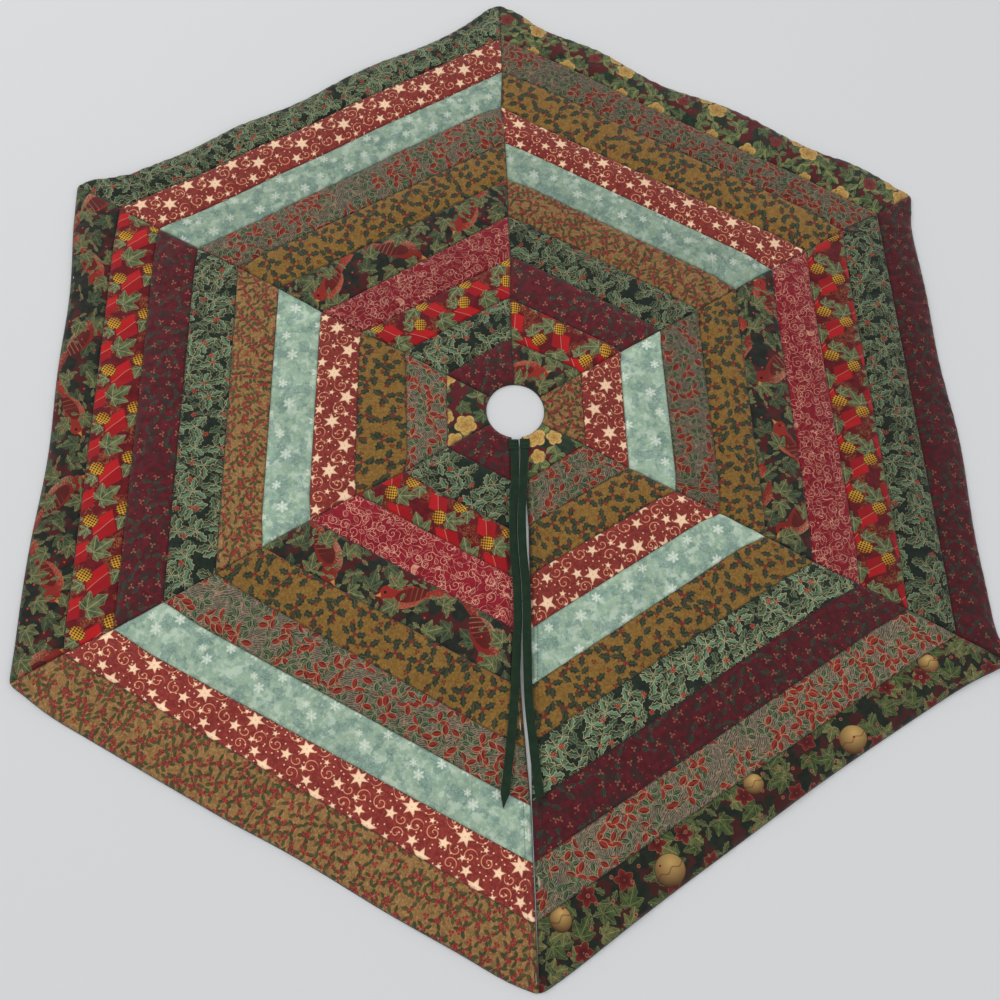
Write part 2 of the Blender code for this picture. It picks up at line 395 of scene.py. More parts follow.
        # plain weave: over one thread, under the next
        k = math.pi / weave
        wx, wy = self.sin(self.x * k), self.sin(self.y * k)
        threads = self.mad(wx * wy, 0.5, self.mad(self.mag(wx), 0.5, self.mag(wy) * 0.5))
        folds = self.noise(7.0, 3.0, 0.55, at=(17, 29))
        height = self.mad(threads, weave_height * 1e-3, folds * (crumple * 1e-3 * 4))
        bump = self.node("ShaderNodeBump")
        bump.inputs["Strength"].default_value = 1.0
        bump.inputs["Distance"].default_value = 1.0
        self.put(bump.inputs["Height"], height)
        self.links.new(bump.outputs["Normal"], self.shader.inputs["Normal"])
        self.put(self.shader.inputs["Roughness"],
                 self.mad(self.noise(14, 2.0, 0.5, at=(5, 41)), 0.16, rough - 0.08))
        self.shader.inputs["Metallic"].default_value = 0.0
        self.shader.inputs["Specular IOR Level"].default_value = specular
        self.shader.inputs["Sheen Weight"].default_value = sheen
        self.shader.inputs["Sheen Roughness"].default_value = 0.45
        self.mat.diffuse_color = (0.4, 0.3, 0.2, 1.0)
        return self.mat


# ================================================================ the prints
def star_red():
    """Brick red with staggered cream stars and open curls."""
    g = Graph("star_red")
    g.base("#83352F", "#712A27", 7.0, "#8C3F37")
    for cx, cy, r0, start, turn in ((24, 22, 8.6, 1.0, 0.5), (56, 22, 8.2, 3.0, 2.2),
                                    (10, 43, 8.2, 2.0, 3.6), (38, 6, 7.4, 0.5, 5.0),
                                    (53, 46, 7.8, 4.0, 1.2), (37, 47, 6.2, 1.6, 4.1)):
        x, y = g.place(cx, cy, 62, 56, turn)
        g.paint(g.inside(g.curl(x, y, 5.8, r0, 0.46, start), 0.3) * 0.9, "#DDA47C")
    for cx, cy, size, n, turn in ((9, 15, 10.4, 5, 0.3), (40, 31, 10.6, 6, 0.1),
                                  (24, 47, 7.0, 5, 0.5), (56, 5, 6.6, 5, 0.2),
                                  (30, 15, 4.0, 5, 0.9), (47, 51, 3.8, 5, 0.0),
                                  (3, 33, 3.6, 5, 0.4), (27, 27, 3.0, 5, 0.2),
                                  (51, 15, 2.6, 5, 0.7)):
        x, y = g.place(cx, cy, 62, 56)
        d, r = g.star(x, y, size, n, 0.43, turn)
        g.paint(g.inside(d, 0.5), g.tone("#F8EBCB", "#E2C596", g.step(r, 0.0, size)))
        if size > 5:
            g.paint(g.inside(r - size * 0.10) * 0.6, "#CFA070")
    _, dist, rand = g.cells(7.5, (4, 2), 0.9)
    g.paint(g.inside(dist - 0.8) * g.op("LESS_THAN", rand[0], 0.7), "#EBCFA4")
    return g


def frost_mint():
    """Grey mint with darker twigs, light blotches and pale snowflakes."""
    g = Graph("frost_mint")
    g.base("#A3BDA6", "#93B09A", 14.0, "#B4CBB5")
    g.paint(g.step(g.noise(19, 2.0, 0.55, at=(21, 77)), 0.53, 0.62) * 0.75, "#C3D8C4")
    patch = g.step(g.noise(17, 3.0, 0.6, at=(50, 3)), 0.49, 0.58)
    twig = g.line(g.mad(g.noise(4.4, 2.0, 0.6, warp=1.4), 1.0, -0.5), 0.035, 0.03)
    g.paint(patch * 0.6, "#82A096")
    g.paint(twig * patch * 0.8, "#5F7F77")
    leaf_cell = g.cells(13, (7, 1), 0.8)
    x, y = g.spin(leaf_cell[0], leaf_cell[2][0] * 6.2832)
    d = g.leaf(x, y, 10.0, 4.6, 0)
    bars = g.line(g.wrap(g.mad(g.mag(y), 1.5, x * -1.0), -0.7, 0.7), 0.12, 0.25)
    g.paint(g.inside(d, 0.9) * g.op("LESS_THAN", leaf_cell[2][2], 0.6) * 0.45, "#A9C7B8")
    g.paint(g.inside(d) * bars * g.op("LESS_THAN", leaf_cell[2][2], 0.6) * 0.7, "#668780")
    for cx, cy, big in ((9, 12, 7.0), (31, 41, 6.4), (47, 20, 5.6), (20, 33, 4.2)):
        x, y = g.place(cx, cy, 64, 58)
        x1, y1, r, _ = g.fold(x, y, 6)
        petal = g.leaf(x1 - big * 0.55, y1, big * 0.9, big * 0.5, 0)
        g.paint(g.inside(petal, 0.7) * 0.8, "#D6E6D6")
        g.paint(g.inside(g.mag(y1) - 0.2, 0.3) * g.inside(r - big) * 0.8, "#EAF3E6")
        g.paint(g.inside(r - big * 0.2, 0.6) * 0.8, "#E6F0E2")
    _, dist, rand = g.cells(6.0, (9, 5), 0.9)
    g.paint(g.inside(dist - 0.5) * g.op("LESS_THAN", rand[0], 0.4) * 0.6, "#DCEBDC")
    return g


def holly_gold():
    """Antique gold with dark holly leaves and dull red berries."""
    g = Graph("holly_gold")
    g.base("#8F6D31", "#7C5B28", 5.0, "#9A7837")
    scroll = g.line(g.mad(g.noise(9, 2.0, 0.5, at=(70, 12)), 1.0, -0.5), 0.012, 0.015)
    g.paint(scroll * 0.45, "#64451D")
    a = g.cells(26, (3, 8), 0.55)
    x, y, r, phi, rand = g.leafage(a, 3, 13.5, 8.6, "#333B2B", "#22291C", "#5D6240", gap=0.4,
                                   darker="#262E22", rim_width=0.25)
    b = g.cells(25, (15, 21), 0.6)
    g.leafage(b, 2, 12, 7.6, "#38412F", "#262D1F", "#61653F", gap=0.8, darker="#293122",
              rim_width=0.25)
    g.berries(x, y, 3, 1.9, 1.45, "#6E2A22", "#9C4A34")
    c = g.cells(21, (28, 2), 0.7)
    x, y = g.spin(c[0], c[2][0] * 6.2832)
    g.berries(x, y, 3, 1.7, 1.25, "#6A2620", "#95452F", middle=False)
    return g


def berry_gold():
    """Tan with small red berries on dark twigs with little leaves."""
    g = Graph("berry_gold")
    g.base("#A07B48", "#8E6C3C", 6.0, "#AF8E56")
    twig = g.line(g.mad(g.noise(7.5, 1.0, 0.5, at=(33, 9), warp=0.5), 1.0, -0.5), 0.016, 0.018)
    g.paint(twig * 0.75, "#5E4A26")
    for at, pitch, big in (((1, 4), 15.5, 7.4), ((7, 11), 16.5, 7.0)):
        cell = g.cells(pitch, at, 0.75)
        x, y, r, phi, rand = g.leafage(cell, 3, big, 3.0, "#575C33", "#3B4024", None, gap=1.6,
                                       points=0, rim_width=0.18, darker="#424728")
        g.berries(x, y, 2, 1.9, 1.7, "#862826", "#B9584A", middle=False)
    c = g.cells(13.0, (12, 3), 0.85)
    x, y = g.spin(c[0], c[2][0] * 6.2832)
    g.berries(x, y, 3, 1.7, 1.35, "#8B2D29", "#BD5B4A", middle=False,
              keep=g.op("LESS_THAN", c[2][1], 0.75))
    return g


def holly_green():
    """Almost black green under layered holly leaves with pale edges, coral berries."""
    g = Graph("holly_green")
    g.base("#16231D", "#1D2E25", 8.0)
    for at, fill, dark, rim, pitch, n in (((2, 3), "#26473A", "#152B23", "#8F916C", 23, 3),
                                          ((9, 10), "#335A49", "#182F26", "#BDB78E", 26, 3),
                                          ((17, 5), "#56806A", "#1F3D30", "#D8CEA4", 27, 3)):
        cell = g.cells(pitch, at, 0.7)
        x, y, r, phi, rand = g.leafage(cell, n, 16.0, 9.6, fill, rim, "#8C9A72", gap=0.5,
                                       darker=dark, rim_width=0.21)
    g.berries(x, y, 3, 1.6, 1.2, "#983F2F", "#C97F60", middle=False,
              keep=g.op("LESS_THAN", rand[2], 0.3))
    c = g.cells(31, (5, 14), 0.8)
    x, y = g.spin(c[0], c[2][0] * 6.2832)
    g.berries(x, y, 5, 2.3, 1.15, "#903A2E", "#C57859")
    return g


def burgundy():
    """Burgundy and charcoal mottle with dull leaves and small pink-gold dots."""
    g = Graph("burgundy")
    g.base("#641A2B", "#4E1622", 7.0)
    g.paint(g.step(g.noise(12, 3.0, 0.6, at=(8, 61)), 0.5, 0.62) * 0.85, "#38292B")
    a = g.cells(20, (4, 4), 0.75)
    g.leafage(a, 2, 11, 5.4, "#2E3835", "#4C4F48", "#55584F", gap=1.0, points=2, depth=0.2,
              share=0.8, rim_width=0.15, darker="#262D2B")
    b = g.cells(17, (12, 9), 0.85)
    x, y = g.spin(b[0], b[2][0] * 6.2832)
    g.berries(x, y, 3, 2.4, 1.0, "#94584A", "#C08A76",
              keep=g.op("LESS_THAN", b[2][1], 0.75))
    c = g.cells(9, (1, 2), 0.9)
    g.paint(g.inside(c[1] - 0.65) * g.op("LESS_THAN", c[2][0], 0.4), "#8E5548")
    return g


def feather_grey():
    """Taupe with fine strokes, green leaves and pointed red leaves outlined in peach."""
    g = Graph("feather_grey")
    g.base("#5F5B4E", "#48443A", 8.0, "#7C7869")
    sweep = g.noise(20, 2.0, 0.5, at=(40, 8))
    barbs = g.sin(g.mad(g.x, 2.0, g.mad(sweep, 30.0, g.y * 2.6)))
    g.paint(g.step(barbs, 0.3, 0.95) * 0.6, "#A19C8A")
    g.paint(g.step(barbs * -1.0, 0.4, 0.95) * 0.6, "#2E2A22")
    swirl = g.line(g.mad(g.noise(8, 1.0, 0.5, at=(5, 90), warp=1.0), 1.0, -0.5), 0.016, 0.016)
    g.paint(swirl * 0.8, "#B3967A")
    for at, pitch, n, size in (((2, 11), 18, 5, 11.0), ((9, 2), 20, 4, 12.0)):
        cell = g.cells(pitch, at, 0.75)
        g.leafage(cell, n, size, 5.2, "#345039", "#A9AA86", "#7C8D66", gap=0.6, points=0,
                  share=0.9, darker="#1B3026", rim_width=0.16, fan=True)
    for at, pitch, n, size, wide in (((11, 3), 20, 3, 11.5, 6.4), ((20, 16), 24, 4, 12.5, 6.0),
                                     ((4, 22), 27, 2, 13.0, 7.0)):
        cell = g.cells(pitch, at, 0.8)
        x, y, r, phi, rand = g.leafage(cell, n, size, wide, "#8A241D", "#DDAE86", "#A8503E",
                                       gap=0.3, points=0, share=0.75, rim_width=0.15,
                                       darker="#5E1917", fan=True)
    return g


def ivy(g, x, y, size, pale, deep, rim, vein, share=None):
    """A leaf with three large pointed lobes and two small ones, toothed all round."""
    x = x + 0.42 * size
    side = g.mag(y)
    d = g.leaf(x - 0.68 * size, y, 1.36 * size, 0.74 * size, 3, 0.3)
    veins = g.line(y, 0.22, 0.25)
    for angle, length, width in ((0.86, 1.02, 0.60), (1.75, 0.62, 0.44)):
        c, s = math.cos(angle), math.sin(angle)
        u = g.mad(x, c, side * s)
        v = g.mad(side, c, x * -s)
        d = g.low(d, g.leaf(u - 0.5 * length * size, v, length * size, width * size, 2, 0.3))
        veins = g.high(veins, g.line(v, 0.18, 0.25) * g.step(u, -0.5, 0.0))
    cover = g.inside(d)
    shade = g.mad(g.noise(size * 0.35, 2.0, 0.5, at=(3, 61)), 1.4, g.mad(d, 0.32 / size * 2, -0.3))
    tint = g.tone(pale, deep, g.step(shade, 0.0, 0.6))
    if share is not None:
        cover = cover * share
    g.paint(cover, tint)
    rays = g.line(g.wrap(g.mad(side, 1.3, x * -1.0), -size * 0.10, size * 0.10), 0.12, 0.25) * 0.4
    g.paint(g.high(veins, rays) * cover, vein)
    edge = g.line(d, 0.18, 0.25)
    if share is not None:
        edge = edge * share
    g.paint(edge * 0.8, rim)


def ivy_red():
    """Dark red with bright kites, ivy leaves and gold pinecones."""
    g = Graph("ivy_red")
    g.base("#6E1219", "#5A0F16", 9.0)
    script = g.line(g.mad(g.noise(4.5, 2.0, 0.6, at=(9, 9), warp=1.0), 1.0, -0.5), 0.025, 0.025)
    g.paint(script * g.step(g.noise(18, 1.0, 0.5, at=(44, 4)), 0.48, 0.56) * 0.75, "#B5793C")
    px, py = 62.0, 60.0
    for cx, cy, a, b, turn in ((45, 27, 22, 15, 0.35), (14, 2, 18, 13, 0.6)):
        x, y = g.place(cx, cy, px, py, turn)
        h = math.hypot(a, b)
        d = g.mad(g.mag(x), b / h, g.mad(g.mag(y), a / h, -a * b / h))
        g.paint(g.inside(d), "#A01018")
        g.paint(g.inside(g.high(d + 0.8, y - x * 0.5)), "#BA161A")
        g.paint(g.line(y - x * 0.5, 0.18) * g.inside(d) * 0.9, "#E0B08A")
    for cx, cy, size, angle in ((20, 26, 19, 0.9), (51, 51, 16, 2.6), (40, 6, 11, 4.3)):
        x, y = g.place(cx, cy, px, py, angle)
        ivy(g, x, y, size, "#767C4C", "#38462C", "#A39A68", "#B9B584")
    for cx, cy, angle in ((52, 12, 0.5), (5, 47, -0.4)):
        x, y = g.place(cx, cy, px, py, angle)
        d = g.radius(x * (1 / 7.4), y * (1 / 9.2)) * 8.0 - 8.0
        cover = g.inside(d)
        g.paint(cover, g.tone("#D9A030", "#A86A1C", g.step(g.mad(x, 0.07, 0.5), 0.2, 0.9)))
        sx = g.sin(g.mad(x, 1.15, y * 0.95))
        sy = g.sin(g.mad(x, -1.15, y * 0.95))
        g.paint(g.step(sx * sy, 0.0, 0.4) * cover, "#2C120A")
        g.paint(g.step(sx * sy * -1.0, 0.55, 0.9) * cover * 0.8, "#E8B43A")
        g.paint(g.line(d, 0.3) * 0.8, "#4E250E")
    return g


def vine_crimson():
    """Crimson with thin looping pink-cream vines."""
    g = Graph("vine_crimson")
    g.base("#821629", "#721222", 9.0, "#8C1E30")
    for at, size in (((5, 5), 17.0), ((60, 33), 14.0)):
        v = g.noise(size, 1.0, 0.4, at=at, warp=0.6)
        g.paint(g.line(g.mad(v, 1.0, -0.47), 0.006, 0.007) * 0.9, "#DDB098")
    a = g.cells(17, (3, 7), 0.8)
    x, y = g.spin(a[0], a[2][0] * 6.2832)
    g.paint(g.inside(g.curl(x, y, 4.2, 6.2, 0.22, 0.6), 0.22) * 0.85, "#E0B8A2")
    b = g.cells(12, (8, 1), 0.8)
    x, y = g.spin(b[0], b[2][0] * 6.2832)
    d = g.leaf(x, y, 8.0, 4.2, 0)
    g.paint(g.line(d, 0.18, 0.2) * 0.85, "#DFB49E")
    g.paint(g.inside(g.high(g.mag(y) - 0.12, g.mag(x) - 2.6), 0.2) * 0.65, "#C68E7C")
    return g


def bird(g, cx, cy, px, py, angle, size, body, wing, light):
    """A plain bird at rest: body, head, tail, wing and beak."""
    x, y = g.place(cx, cy, px, py, angle)
    s = 1.0 / size
    x, y = x * s, y * s
    trunk = g.radius(x, y * 1.8) - 0.46
    head = g.radius(x - 0.42, y - 0.17) - 0.18
    tail = g.high(g.mag(y + 0.03) - g.mad(x, -0.13, 0.02),
                  g.high(x * -1.0 - 1.05, x + 0.2))
    d = g.low(g.low(trunk, head), tail) * size
    down = g.noise(3.0, 3.0, 0.6, at=(2, 8), stretch=(1.0, 2.2))
    lit = g.step(g.mad(y, -1.6, g.mad(down, 1.2, -0.5)), 0.1, 0.75)
    g.paint(g.inside(d, 0.4), g.tone(body, light, lit * 0.5))
    wing_d = g.radius(x + 0.14, (y - 0.03) * 2.3) - 0.38
    cover = g.inside(wing_d * size, 0.4)
    g.paint(cover * 0.9, wing)
    bars = g.line(g.wrap(g.mad(x, size * 0.9, y * size * 0.35), -2.6, 2.6), 0.3, 0.5)
    back = g.step(x * -1.0, 0.0, 0.25)
    g.paint(bars * cover * back * 0.35, light)
    beak = g.high(g.mag(y - 0.16) - g.mad(x, -0.35, 0.25), g.high(x - 0.72, 0.57 - x))
    g.paint(g.inside(beak * size), "#B58A45")
    g.paint(g.inside((g.radius(x - 0.46, y - 0.2) - 0.035) * size), "#0E0E0C")


def scattered_ivy(g, pitch, at, size, pale, deep, rim, vein, share=0.85, jitter=0.6):
    local, dist, rand = g.cells(pitch, at, jitter)
    x, y = g.spin(local, rand[0] * 6.2832)
    ivy(g, x, y, size, pale, deep, rim, vein, g.op("LESS_THAN", rand[1], share))
    return x, y, rand


def bird_holly(name="bird_holly", body="#74251C", wing="#4E1815", light="#E0C296"):
    """Near black green with large ivy leaves, plain birds and small berries."""
    g = Graph(name)
    g.base("#18201B", "#1F2B22", 10.0)
    g.paint(g.step(g.noise(22, 2.0, 0.5, at=(14, 70)), 0.5, 0.6) * 0.8, "#4E1A1C")
    scattered_ivy(g, 30, (16, 3), 15, "#3F5A3C", "#24382A", "#6C7248", "#74794E")
    bird(g, 34, 27, 196, 56, 0.6, 52, body, wing, light)
    bird(g, 134, 30, 196, 56, 2.5, 46, "#85291F", "#561814", "#CC9A72")
    scattered_ivy(g, 31, (2, 18), 14, "#5C7248", "#334A33", "#8E8F58", "#A0A06A", share=0.6)
    cell = g.cells(19, (7, 9), 0.75)
    x, y, r, phi, rand = g.leafage(cell, 2, 10, 5, "#4C6844", "#8E8F5C", "#8F9560", gap=0.6,
                                   darker="#2C4030", rim_width=0.16, share=0.5)
    c = g.cells(13, (7, 2), 0.8)
    keep = g.op("LESS_THAN", c[2][0], 0.35)
    g.paint(g.inside(c[1] - 1.4) * keep, "#8A2A24")
    g.paint(g.inside(c[1] - 0.5) * keep, "#C8745A")
    return g


def rose(g, x, y, size, pale, deep, rim, share=None):
    """A rose: rings of scalloped petals, each ring turned against the last."""
    phi = g.op("ARCTAN2", y, x)
    r = g.radius(x, y)
    for i, part in enumerate((1.0, 0.76, 0.53, 0.32, 0.15)):
        scallop = g.mag(g.cos(g.mad(phi, 2.5 if i < 3 else 1.5, i * 1.1)))
        reach = g.mad(scallop, size * part * 0.22, size * part * 0.80)
        d = r - reach
        cover = g.inside(d, 0.4)
        if share is not None:
            cover = cover * share
        inner = g.step(r * (1.0 / size), part * 0.55, part * 1.0)
        g.paint(cover, g.tone(deep, pale, inner))
        edge = g.line(d, 0.16, 0.3)
        if share is not None:
            edge = edge * share
        g.paint(edge * 0.7, rim)


def rose_gold_green():
    """Burgundy and green with leaves and golden roses."""
    g = Graph("rose_gold_green")
    g.base("#26382A", "#1D2B20", 10.0)
    g.paint(g.step(g.noise(20, 2.0, 0.5, at=(80, 4)), 0.47, 0.54), "#551B22")
    scattered_ivy(g, 26, (6, 9), 12, "#4C6440", "#2C4230", "#6E7A4C", "#7F8A5C", share=0.8)
    for at, fill, dark, n in (((3, 5), "#4F6B44", "#2E4531", 3), ((14, 12), "#74844F", "#465C38", 2)):
        cell = g.cells(23, at, 0.7)
        g.leafage(cell, n, 12.5, 7, fill, "#8E9460", "#9FA56E", gap=0.5, points=2, depth=0.2,
                  darker=dark, rim_width=0.16, share=0.75)
    for cx, cy, size in ((18, 18, 13.0), (38, 30, 10.0), (8, 40, 8.5), (92, 40, 12.0)):
        x, y = g.place(cx, cy, 136, 60)
        rose(g, x, y, size, "#CDB26C", "#987332", "#6E5424")
    x, y = g.place(64, 12, 136, 60)
    rose(g, x, y, 9.0, "#8A3A34", "#571C20", "#3A1416")
    c = g.cells(14, (7, 2), 0.8)
    g.paint(g.inside(c[1] - 1.1) * g.op("LESS_THAN", c[2][0], 0.3), "#85302A")
    return g


def ornament_holly():
    """Dark green with olive leaves, a few gold baubles and crimson petals."""
    g = Graph("ornament_holly")
    g.base("#182019", "#20291E", 10.0)
    g.paint(g.step(g.noise(20, 2.0, 0.5, at=(15, 52)), 0.5, 0.58) * 0.8, "#4A1A1A")
    scattered_ivy(g, 29, (6, 3), 16, "#526538", "#28391F", "#848150", "#8B8A58")
    scattered_ivy(g, 31, (19, 17), 13, "#7A7A48", "#48522F", "#9A9560", "#A8A070", share=0.5)
    for at, fill, dark, n, L in (((5, 2), "#43553A", "#2A3B2A", 3, 13),):
        cell = g.cells(26, at, 0.65)
        g.leafage(cell, n, L, 7, fill, "#8A8450", "#8E8C5A", gap=0.5, darker=dark,
                  rim_width=0.18, share=0.7)
    a = g.cells(40, (9, 15), 0.7)
    x, y = g.spin(a[0], a[2][0] * 6.2832)
    keep = g.op("LESS_THAN", a[2][1], 0.55)
    x1, y1, r, _ = g.fold(x, y, 5)
    d = g.leaf(x1 - 5.5, y1, 10.5, 7.0, 0)
    g.paint(g.inside(d) * keep, g.tone("#4E1014", "#7C2120", g.step(r, 2.0, 10.0)))
    g.paint(g.line(d, 0.18) * keep * 0.6, "#B0805A")
    for cx, cy, size in ((30, 30, 16.0), (150, 52, 11.0)):
        x, y = g.place(cx, cy, 245, 58)
        r = g.radius(x, y)
        shine = g.radius(x + size * 0.3, y - size * 0.35)
        g.paint(g.inside(r - size), g.tone("#D3AE6A", "#54331A", g.step(shine, 0.0, size * 1.4)))
        g.paint(g.inside(r - size) * g.line(g.mad(g.sin(x * 0.45), 1.6, y), 0.7, 0.4) * 0.6,
                "#5E2A1C")
        g.paint(g.line(r - size, 0.3) * 0.8, "#3A2610")
    b = g.cells(15, (4, 8), 0.8)
    keep = g.op("LESS_THAN", b[2][0], 0.35)
    g.paint(g.inside(b[1] - 1.6) * keep, "#8A2626")
    g.paint(g.line(b[1] - 1.6, 0.2) * keep * 0.7, "#BF9A74")
    return g


GAIN = {
    "star_red": (1.12, 0.92, 0.90), "frost_mint": (0.99, 0.97, 0.96),
    "holly_gold": (0.95, 0.91, 0.95), "berry_gold": (0.95, 0.88, 0.96),
    "holly_green": (1.00, 0.90, 0.83), "burgundy": (0.98, 0.88, 0.72),
    "feather_grey": (1.00, 0.92, 0.86), "ivy_red": (0.96, 0.98, 1.05),
    "vine_crimson": (1.06, 0.90, 0.84), "bird_holly": (1.10, 0.88, 0.90),
    "rose_gold_green": (1.12, 1.00, 0.95), "ornament_holly": (0.88, 0.86, 0.84),
}
PRINTS = {"star_red": star_red, "frost_mint": frost_mint, "holly_gold": holly_gold,
          "berry_gold": berry_gold, "holly_green": holly_green, "burgundy": burgundy,
          "feather_grey": feather_grey, "ivy_red": ivy_red, "vine_crimson": vine_crimson,
          "bird_holly": bird_holly, "rose_gold_green": rose_gold_green,
          "ornament_holly": ornament_holly}
CLOTHS = {name: make().finish(gain=GAIN[name]) for name, make in PRINTS.items()}


def plain_cloth(name, a, b, size, rough, sheen, weave, gain=(1, 1, 1), **more):
    g = Graph(name)
    g.base(a, b, size)
    return g.finish(rough=rough, sheen=sheen, weave=weave, gain=gain, **more)


def backing_cloth():
    """Dark green backing with a quiet darker scroll."""
    g = Graph("backing_forest")
    g.base("#2A4436", "#22392E", 12.0)
    scroll = g.line(g.mad(g.noise(16, 1.0, 0.4, at=(12, 40), warp=0.6), 1.0, -0.5), 0.02, 0.02)
    g.paint(scroll * 0.6, "#3C5A47")
    _, dist, rand = g.cells(14, (3, 3), 0.8)
    g.paint(g.inside(dist - 1.3) * g.op("LESS_THAN", rand[0], 0.6) * 0.5, "#446650")
    return g.finish(rough=0.9, sheen=0.2)


def batting_cloth():
    """Cream wadding: matted fibres."""
    g = Graph("batting_cream")
    g.base("#E9E2CF", "#DDD5BF", 14.0)
    fibre = g.line(g.mad(g.noise(3.0, 3.0, 0.7, warp=1.5), 1.0, -0.5), 0.02, 0.03)
    g.paint(fibre * 0.5, "#F6F1E4")
    return g.finish(rough=0.95, sheen=0.4, weave=1.1, weave_height=0.02, crumple=0.3)


def ribbon_cloth(name, rib=0.9):
    """Dark green ribbed ribbon with painted shade between the ribs and a firmer selvedge."""
    g = Graph(name)
    g.base("#1B341F", "#142B1B", 10.0)
    ribs = g.sin(g.x * (2 * math.pi / rib))
    # painted shade: the troughs between the ribs are drawn darker
    g.paint(g.step(ribs, -0.4, -1.0) * 0.55, "#0F221A")
    edge = g.step(g.mag(g.y), 3.9, 4.3)
    g.paint(edge * 0.5, "#1E3D2A")
    mat = g.finish(rough=0.7, sheen=0.08, weave=0.3, weave_height=0.03, crumple=0.05,
                   specular=0.2)
    # the ribs stand up under the threads
    bump = next(n for n in g.nodes if n.bl_idname == "ShaderNodeBump")
    threads = Val(g, bump.inputs["Height"].links[0].from_socket)
    g.put(bump.inputs["Height"], g.mad(ribs, 0.00006, threads))
    return mat


def thread_cloth(name, a, b):
    """Sewing thread: two twisted plies."""
    g = Graph(name)
    g.base(a, b, 2.0)
    ply = g.sin(g.mad(g.x, 9.0, g.y * 9.0))
    g.paint(g.step(ply, 0.0, -0.9) * 0.5, b)
    return g.finish(rough=0.55, sheen=0.3, weave=0.25, weave_height=0.02, crumple=0.0,
                    specular=0.4)


BACKING = backing_cloth()
BATTING = batting_cloth()
RIBBON = ribbon_cloth("ribbon_green")
THREAD = thread_cloth("thread_green", "#27483A", "#1A3228")

# ================================================================ the shape
MM = 0.001
DITCH, PLATEAU, EDGE = 2.8, 5.2, 1.5      # heights in mm: seam, strip, turned edge
SHEET_T = 0.00045                          # thickness of one cotton layer
CORNER_R = 0.013                           # rounding of the six corners

LEFT_GAP = ((0.029, 0.034, 0.040, 0.331, 0.414, 0.444, 0.640),
            (0.0072, 0.0062, 0.0058, 0.0066, 0.0024, 0.0010, 0.0010))
RIGHT_GAP = ((0.029, 0.034, 0.040, 0.163, 0.342, 0.444, 0.640),
             (0.0074, 0.0066, 0.0062, 0.0112, 0.0036, 0.0008, 0.0008))


def axes(wedge):
    a = math.radians(MIDDLE[wedge])
    n = np.array((math.cos(a), math.sin(a)))
    return n, np.array((-n[1], n[0]))


def sides(wedge, u, spare=0.0):
    """Where a row at distance u starts and ends along the strip."""
    u = np.asarray(u, float)
    inset = 0.00012 / COS30
    lo, hi = -u * TAN30 + inset, u * TAN30 - inset
    n, t = axes(wedge)
    if wedge in ("front_left", "front_right"):
        side = -1 if wedge == "front_left" else 1
        table = LEFT_GAP if side < 0 else RIGHT_GAP
        v = hi if side < 0 else lo
        for _ in range(3):
            y = n[1] * u + t[1] * v
            v = (side * (np.interp(-y, *table) - spare) - n[0] * u) / t[0]
        if side < 0:
            hi = v
        else:
            lo = v
    return lo, hi


def outer_edge(v, reach):
    """Distance of the outer edge, with rounded corners."""
    half = APOTHEM * TAN30
    back = CORNER_R * TAN30
    q = np.clip((np.abs(v) - (half - back)) / back, 0.0, 1.0) * CORNER_R * 0.5
    return APOTHEM + reach - (CORNER_R - np.sqrt(CORNER_R ** 2 - q ** 2))


def roll(w, r):
    x = np.clip(w / r, 0.0, 1.0)
    return np.sqrt(np.maximum(1.0 - (1.0 - x) ** 2, 0.0))


def wave(x, seed, size):
    """A smooth irregular wave in x (mm), between about -1 and 1."""
    r = random.Random(seed)
    out = 0.0
    for k in range(5):
        out = out + np.sin(x * (2 * math.pi / (size * r.uniform(0.55, 1.9))) + r.uniform(0, 6.28))
    return out / 2.6


